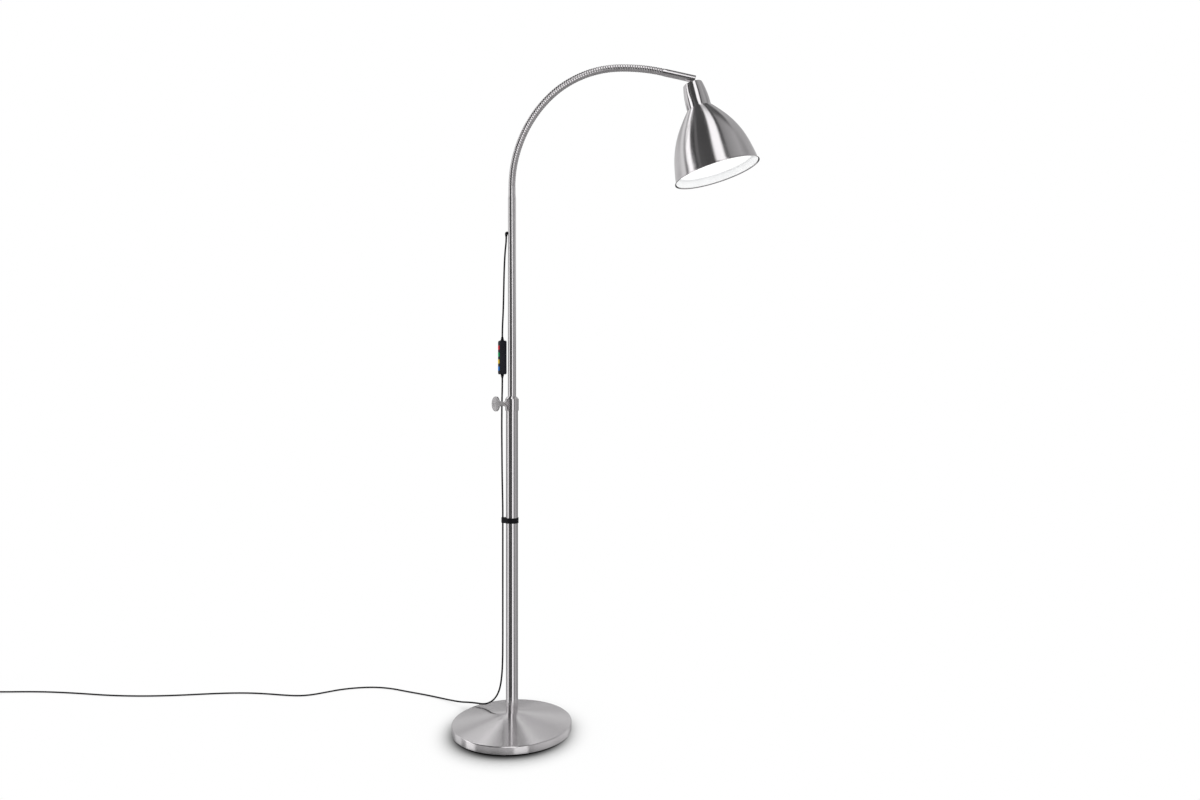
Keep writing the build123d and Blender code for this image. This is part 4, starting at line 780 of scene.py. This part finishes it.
def gooseneck():
    """Ribbed hose in eleven stretches: each middle one spans the joint between two links."""
    tree = ribbed_hose_tree()
    first = hose_piece(tree, "hose_start", -HOSE_LAP, LINK / 2, 5)
    fit(first, "upper_pole", "hose_steel", "neck_link_01")
    for joint in range(1, NECK_LINKS):
        start, end = (joint - 0.5) * LINK, (joint + 0.5) * LINK
        piece = hose_piece(tree, f"hose_{joint:02d}", start, end, LINK_RIBS)
        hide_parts(f"neck_link_{joint:02d}", f"neck_link_{joint + 1:02d}")
        low, high = neck_point(start)[0] * MM, neck_point(end)[0] * MM
        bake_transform(piece)
    last = hose_piece(tree, "hose_end", NECK_LENGTH - LINK / 2, NECK_LENGTH + HOSE_LAP, 5)
    fit(last, "neck_10", "hose_steel", "neck_link_10")


# ---- head ----------------------------------------------------------------------------------
END_SPOT, END_HEADING = neck_point(NECK_LENGTH)
END_FRAME = axes(END_SPOT, (0, 1, 0), (sin(END_HEADING), 0, cos(END_HEADING)))
UP_FROM_FERRULE = Vector((-cos(END_HEADING), 0, sin(END_HEADING)))
ALONG_FERRULE = Vector((sin(END_HEADING), 0, cos(END_HEADING)))
PIVOT = (END_SPOT - UP_FROM_FERRULE * (END_FERRULE_RADIUS + PIVOT_DROP)
         + ALONG_FERRULE * (END_FERRULE_LENGTH - PIVOT_FROM_END))
TILT = radians(15.5)
HEAD_UP = Vector((-sin(TILT), 0, cos(TILT)))
PIVOT_OVER_CAP = 1.8
HEAD = axes(PIVOT - HEAD_UP * PIVOT_OVER_CAP, (cos(TILT), 0, sin(TILT)), HEAD_UP)


def end_ferrule():
    length, radius = END_FERRULE_LENGTH, END_FERRULE_RADIUS
    profile = [(7.25, 0), (7.9, 0), (8.12, 0.3), (8.3, 3.0), (8.42, 5.5), (radius, 8)]
    profile += [(radius, 20 + 10 * i) for i in range(6)]
    profile += rounded((radius, length), (radius, 60), (0, length), 0.9, 5)
    profile += [(4, length), (0, length), (0, length - 2), (7.5, length - 2), (7.5, 17), (7.25, 17)]
    piece = lathe("neck_ferrule_long", profile, END_FRAME, 96, [FINISH["satin_steel"]])
    slot = lathe("slot_cutter", [(0, -2.3), (4.5, -2.3), (4.5, 2.3), (0, 2.3)],
                 axes(PIVOT, (0, 0, 1), (0, 1, 0)), 48)
    cut = piece.modifiers.new("slot for the eye", "BOOLEAN")
    cut.operation = "DIFFERENCE"
    cut.solver = "EXACT"
    cut.object = slot
    bpy.context.view_layer.update()
    baked(piece)
    mesh = slot.data
    bpy.data.objects.remove(slot)
    bpy.data.meshes.remove(mesh)
    smooth_mesh(piece.data)
    fit(piece, "neck_10", "satin_steel", "end_ferrule")


def knuckle():
    for node, name, body in (("knuckle_lug", "knuckle_ears", "neck_10"), ("knuckle_eye", "knuckle_stem", "knuckle")):
        fit(paint(finished_copy(node, name, 0.3), FINISH["bright_steel"]), body, "bright_steel")
    pin = [(0, -6.1), (1.4, -6.0), (2.2, -5.5), (2.5, -4.72), (1.5, -4.72), (1.5, 4.72), (2.5, 4.72), (2.2, 5.5),
           (1.4, 6.0), (0, 6.1)]
    fit(lathe("knuckle_rivet", pin, axes(PIVOT, (0, 0, 1), (0, 1, 0)), 40, [FINISH["bright_steel"]]),
        "neck_10", "bright_steel", "knuckle_pin")


def bowed(start, end, radius, steps):
    """Points on an arc between two profile points, bowed away from the axis."""
    half = sqrt((end[0] - start[0]) ** 2 + (end[1] - start[1]) ** 2) / 2
    rise = radius - sqrt(radius**2 - half**2)
    out, up = rise * abs(end[1] - start[1]) / (2 * half), rise * abs(end[0] - start[0]) / (2 * half)
    points = []
    for i in range(steps + 1):
        t = i / steps
        swell = 4 * t * (1 - t)
        points.append((start[0] + (end[0] - start[0]) * t + out * swell,
                       start[1] + (end[1] - start[1]) * t + up * swell))
    return points


def cap():
    side = bowed((22.5, 0), (28.8, -60), 220, 20)
    inner = bowed((22.6, -10), (27.6, -60), 220, 8)
    corner = rounded((22.5, 0), (8.5, 0), side[2], 2.2, 6)
    profile = [(8.5, 0), (15, 0)] + corner + side[2:] + inner[::-1] + [(4.1, -10), (4.1, -7), (8.5, -7)]
    fit(lathe("cap_spun", profile, HEAD, 128, [FINISH["satin_steel"]]), "head", "satin_steel", "socket_cap")


def bell_wall(offset, steps):
    chain = arc_points((60, 30), 41.0, (400, 215, 450), (7, 20, 5.5), steps, offset)
    return [(across, -along) for along, across in chain]


def shade():
    outer = bell_wall(0, 18)
    inner = bell_wall(0.8, 10)
    rim = outer[-1][1] - 8.2
    outer[0] = (outer[0][0], -60.05)
    inner[0] = (inner[0][0], -60.95)
    end = outer[-1]
    lip = [(end[0] + 0.9, rim + 3.4), (101.35, rim + 2.1), (101.85, rim + 1.75), (102.05, rim + 1.0), (101.9, rim + 0.3),
           (101.45, rim), (100.9, rim + 0.15)]
    outside = [(24.6, -60.05)] + outer + lip
    inside = [(inner[-1][0] + 0.9, rim + 2.2)] + inner[::-1] + [(24.6, -60.95)]
    piece = lathe("shade_spun", outside + inside, HEAD, 192, [FINISH["shade_steel"], FINISH["white_enamel"]],
                  inside_from=len(outside))
    fit(piece, "head", "satin_steel", "shade")


# ---- hand controller -----------------------------------------------------------------------
CONTROLLER = Matrix.Translation(Vector((-25.2, 20, 837)) * MM) @ Matrix.Rotation(radians(200), 4, "Z")


def ribbed_boot(name, length, wide, narrow, ribs, where, body, finish, *nodes):
    """Strain relief: a taper cut into soft rings."""
    profile = [(0, 0), (wide, 0), (wide, 1.5)]
    step = (length - 2.4) / ribs
    for i in range(ribs):
        low = 1.5 + i * step
        share = (i + 0.5) / ribs
        radius = wide + (narrow - wide) * share
        profile += [(radius - 0.55, low + 0.15 * step), (radius - 0.55, low + 0.35 * step), (radius, low + 0.5 * step),
                    (radius, low + 0.9 * step)]
    profile += [(narrow, length - 0.6), (narrow - 0.3, length), (0, length)]
    piece = lathe(name, profile, where, 40, [FINISH[finish]])
    return fit(piece, body, finish, *nodes)


def controller():
    black = FINISH["black_plastic"]
    for node, name in (("controller_front", "keypad_front"), ("controller_back", "keypad_back")):
        fit(paint(finished_copy(node, name, 0.0, 38), black), "upper_pole", "black_plastic")
    for colour in ("red", "green", "yellow", "blue"):
        key = finished_copy(f"{colour}_button", f"key_{colour}", 0.0, 38)
        fit(paint(key, FINISH[f"{colour}_key"]), f"{colour}_key", f"{colour}_key")
    top = CONTROLLER @ Matrix.Translation((0, 0, 80 * MM))
    under = CONTROLLER @ Matrix.Rotation(pi, 4, "X")
    ribbed_boot("keypad_boot_top", 9.0, 4.2, 2.6, 3, top, "upper_pole", "black_rubber", "controller_boots")
    ribbed_boot("keypad_boot_under", 9.0, 4.2, 2.6, 3, under, "upper_pole", "black_rubber", "controller_boots")


# ---- power supply --------------------------------------------------------------------------
def power_supply():
    """The housing, its boot, pins and the tie round the coil; returns what lies on the cord."""
    housing = fit(paint(finished_copy("power_supply", "supply_housing", 0.6, 38), FINISH["black_plastic"]),
                  "root", "black_plastic")
    tie = fit(paint(finished_copy("cord_tie", "coil_tie", 0.3, 38), FINISH["black_rubber"]), "root", "black_rubber")
    pins = fit(paint(finished_copy("plug_pins", "supply_pins", 0.2, 38), FINISH["pin_brass"]), "root", "pin_brass")
    where = axes((-1481, 236, 7.65), (0, 0, 1), (1, 0, 0))
    boot = ribbed_boot("supply_relief", 22.0, 4.6, 2.6, 6, where, "root", "black_rubber", "supply_boot")
    return [tie, boot, housing, pins]


# ---- studio --------------------------------------------------------------------------------
def linear(brightness):
    """Light value of a display brightness between 0 and 1."""
    return ((brightness + 0.055) / 1.055) ** 2.4


STEEL_SHARE = 0.83  # how much light the steel gives back
# Panels round the lamp, by the side of an upright tube that shows them to the viewer: degrees from the
# viewer's side, positive to the right, and brightness in the steel.
PANELS = (
    (-90, 0.24), (-66, 0.26), (-61, 0.72), (-52, 0.76), (-50, 0.24), (-45, 0.24), (-43, 1.0), (-34, 1.0),
    (-32, 0.24), (-24, 0.22), (-22, 0.36), (-19, 0.36), (-17, 0.24), (4, 0.22), (6, 0.98), (17, 0.98),
    (19, 0.20), (22, 0.26), (25, 0.50), (40, 0.61), (52, 0.47), (68, 0.60), (76, 0.24), (90, 0.22),
)
LEAN = 12.0  # degrees that the panels in front lean to the left as they rise
BACKDROP = (0.74, 0.60)  # grey of the backdrop behind, low down and high up
VIEW_SLOPE = 0.94  # cosine of how far the viewer looks down on the base or up at the shade


def eased(tree, value, low, high, at_low=0.0, at_high=1.0):
    """Smooth step between two values."""
    return add(tree, "ShaderNodeMapRange", {"interpolation_type": "SMOOTHSTEP"}, _0=value, _1=low, _2=high,
               _3=at_low, _4=at_high).outputs[0]


def blended(tree, share, first, second):
    return add(tree, "ShaderNodeMix", {"data_type": "FLOAT"}, _0=share, _2=first, _3=second).outputs[0]


def studio():
    """White all round for the eye and for matt surfaces; polished metal sees tall panels and a grey backdrop."""
    world = bpy.data.worlds.new("studio")
    bpy.context.scene.world = world
    world.use_nodes = True
    tree = world.node_tree
    tree.nodes.clear()
    out = tree.nodes.new("ShaderNodeOutputWorld")
    ray = add(tree, "ShaderNodeTexCoord").outputs["Generated"]
    split = add(tree, "ShaderNodeSeparateXYZ", Vector=ray)
    # all directions that one meridian of a spun piece spreads its light to have the same side
    toward = sums(tree, "SUBTRACT", VIEW_SLOPE, split.outputs[1])
    side = sums(tree, "ARCTAN2", split.outputs[0], toward)
    ahead = eased(tree, split.outputs[1], 0.2, 0.55, 1.0, 0.0)
    risen = sums(tree, "MULTIPLY", eased(tree, split.outputs[2], 0.12, 0.3, 0.0, radians(LEAN)), ahead)
    facing = sums(tree, "COSINE", side)
    lean = sums(tree, "MULTIPLY", risen, sums(tree, "MULTIPLY", facing, facing))
    share = sums(tree, "MULTIPLY_ADD", sums(tree, "ADD", side, lean), 1 / pi, 0.5)
    ramp = add(tree, "ShaderNodeValToRGB", Fac=share)
    stops = ramp.color_ramp.elements
    while len(stops) < len(PANELS):
        stops.new(0.5)
    for stop, (degrees, brightness) in zip(stops, PANELS):
        stop.position = degrees / 180 + 0.5
        stop.color = (*[linear(brightness) / STEEL_SHARE] * 3, 1)
    panel = ramp.outputs[0]
    grey = eased(tree, split.outputs[2], 0.2, 0.6, linear(BACKDROP[0]) / STEEL_SHARE, linear(BACKDROP[1]) / STEEL_SHARE)
    lifted = sums(tree, "MAXIMUM", sums(tree, "MULTIPLY", panel, 1.15), grey)
    behind = sums(tree, "MULTIPLY", eased(tree, split.outputs[2], 0.04, 0.2), eased(tree, split.outputs[1], 0.0, 0.35))
    seen = blended(tree, behind, panel, lifted)
    # a dark strip hangs overhead, just behind the lamp, and the floor under everything is grey
    over = sums(tree, "MULTIPLY", eased(tree, split.outputs[2], 0.80, 0.88), eased(tree, split.outputs[1], 0.02, 0.12))
    seen = blended(tree, over, seen, 0.06)
    seen = blended(tree, eased(tree, split.outputs[2], -0.45, -0.75), seen, 0.24)
    rays = add(tree, "ShaderNodeLightPath").outputs
    level = blended(tree, rays["Is Glossy Ray"], 1.0, seen)
    light = add(tree, "ShaderNodeBackground", Strength=level)
    light.inputs["Color"].default_value = (1, 1, 1, 1)
    tree.links.new(light.outputs[0], out.inputs[0])


def floor():
    """White ground, a hair below the lamp's foot, with a soft shadow close round it."""
    mesh = bpy.data.meshes.new("floor")
    reach, low = 8.0, -0.0002
    mesh.from_pydata([(-reach, -reach, low), (reach, -reach, low), (reach, reach, low), (-reach, reach, low)],
                     [], [(0, 1, 2, 3)])
    sheet = place_object("floor", mesh)
    material, tree, shader = blank_material("white_table")
    tree.nodes.remove(shader)
    spot = add(tree, "ShaderNodeTexCoord").outputs["Object"]
    at = add(tree, "ShaderNodeSeparateXYZ", Vector=spot).outputs
    away = add(tree, "ShaderNodeVectorMath", {"operation": "LENGTH"}, _0=spot).outputs["Value"]
    # the shadow is deepest on the viewer's side and a little deeper on the left than on the right
    front = sums(tree, "MAXIMUM", sums(tree, "DIVIDE", sums(tree, "MULTIPLY", at[1], -1.0), away), 0.0)
    side = sums(tree, "DIVIDE", at[0], away)
    depth = sums(tree, "MULTIPLY_ADD", sums(tree, "MULTIPLY", front, front), 5.5,
                 sums(tree, "MULTIPLY_ADD", side, -0.5, 1.6))
    oval = add(tree, "ShaderNodeVectorMath", {"operation": "MULTIPLY"}, _0=spot, _1=(1.0, 0.86, 1.0)).outputs[0]
    reach_out = add(tree, "ShaderNodeVectorMath", {"operation": "LENGTH"}, _0=oval).outputs["Value"]
    fade = eased(tree, reach_out, 0.155, 0.20, 1.0, 0.0)
    strength = sums(tree, "MULTIPLY_ADD", sums(tree, "MULTIPLY", depth, fade), -1.0, -0.35)
    near = add(tree, "ShaderNodeAmbientOcclusion", {"samples": 24}, Distance=0.16).outputs["AO"]
    hidden = sums(tree, "SUBTRACT", 1.0, near)
    tone = sums(tree, "EXPONENT", sums(tree, "MULTIPLY", hidden, strength))
    matt = add(tree, "ShaderNodeEmission", Strength=tone)
    clear = add(tree, "ShaderNodeBsdfTransparent")
    rays = add(tree, "ShaderNodeLightPath").outputs
    # in the steel the floor shows half near by and not at all further off, where the panels go on below it
    far = sums(tree, "GREATER_THAN", rays["Ray Length"], 0.2)
    near_by = sums(tree, "GREATER_THAN", rays["Ray Length"], 0.012)
    gone = sums(tree, "MULTIPLY", sums(tree, "MULTIPLY", sums(tree, "ADD", far, near_by), 0.5), rays["Is Glossy Ray"])
    both = add(tree, "ShaderNodeMixShader", Fac=gone, _1=matt.outputs[0], _2=clear.outputs[0])
    tree.links.new(both.outputs[0], tree.nodes["Material Output"].inputs[0])
    mesh.materials.append(material)


# ---- everything in its place ---------------------------------------------------------------
viewer()
floor_cord = hang_cords()
base()
poles()
clamp()
strap()
grommet()
gooseneck()
end_ferrule()
knuckle()
cap()
shade()
controller()
on_cord = power_supply()
dress_kept_nodes()
studio()
floor()
bpy.context.scene.view_settings.view_transform = "Standard"
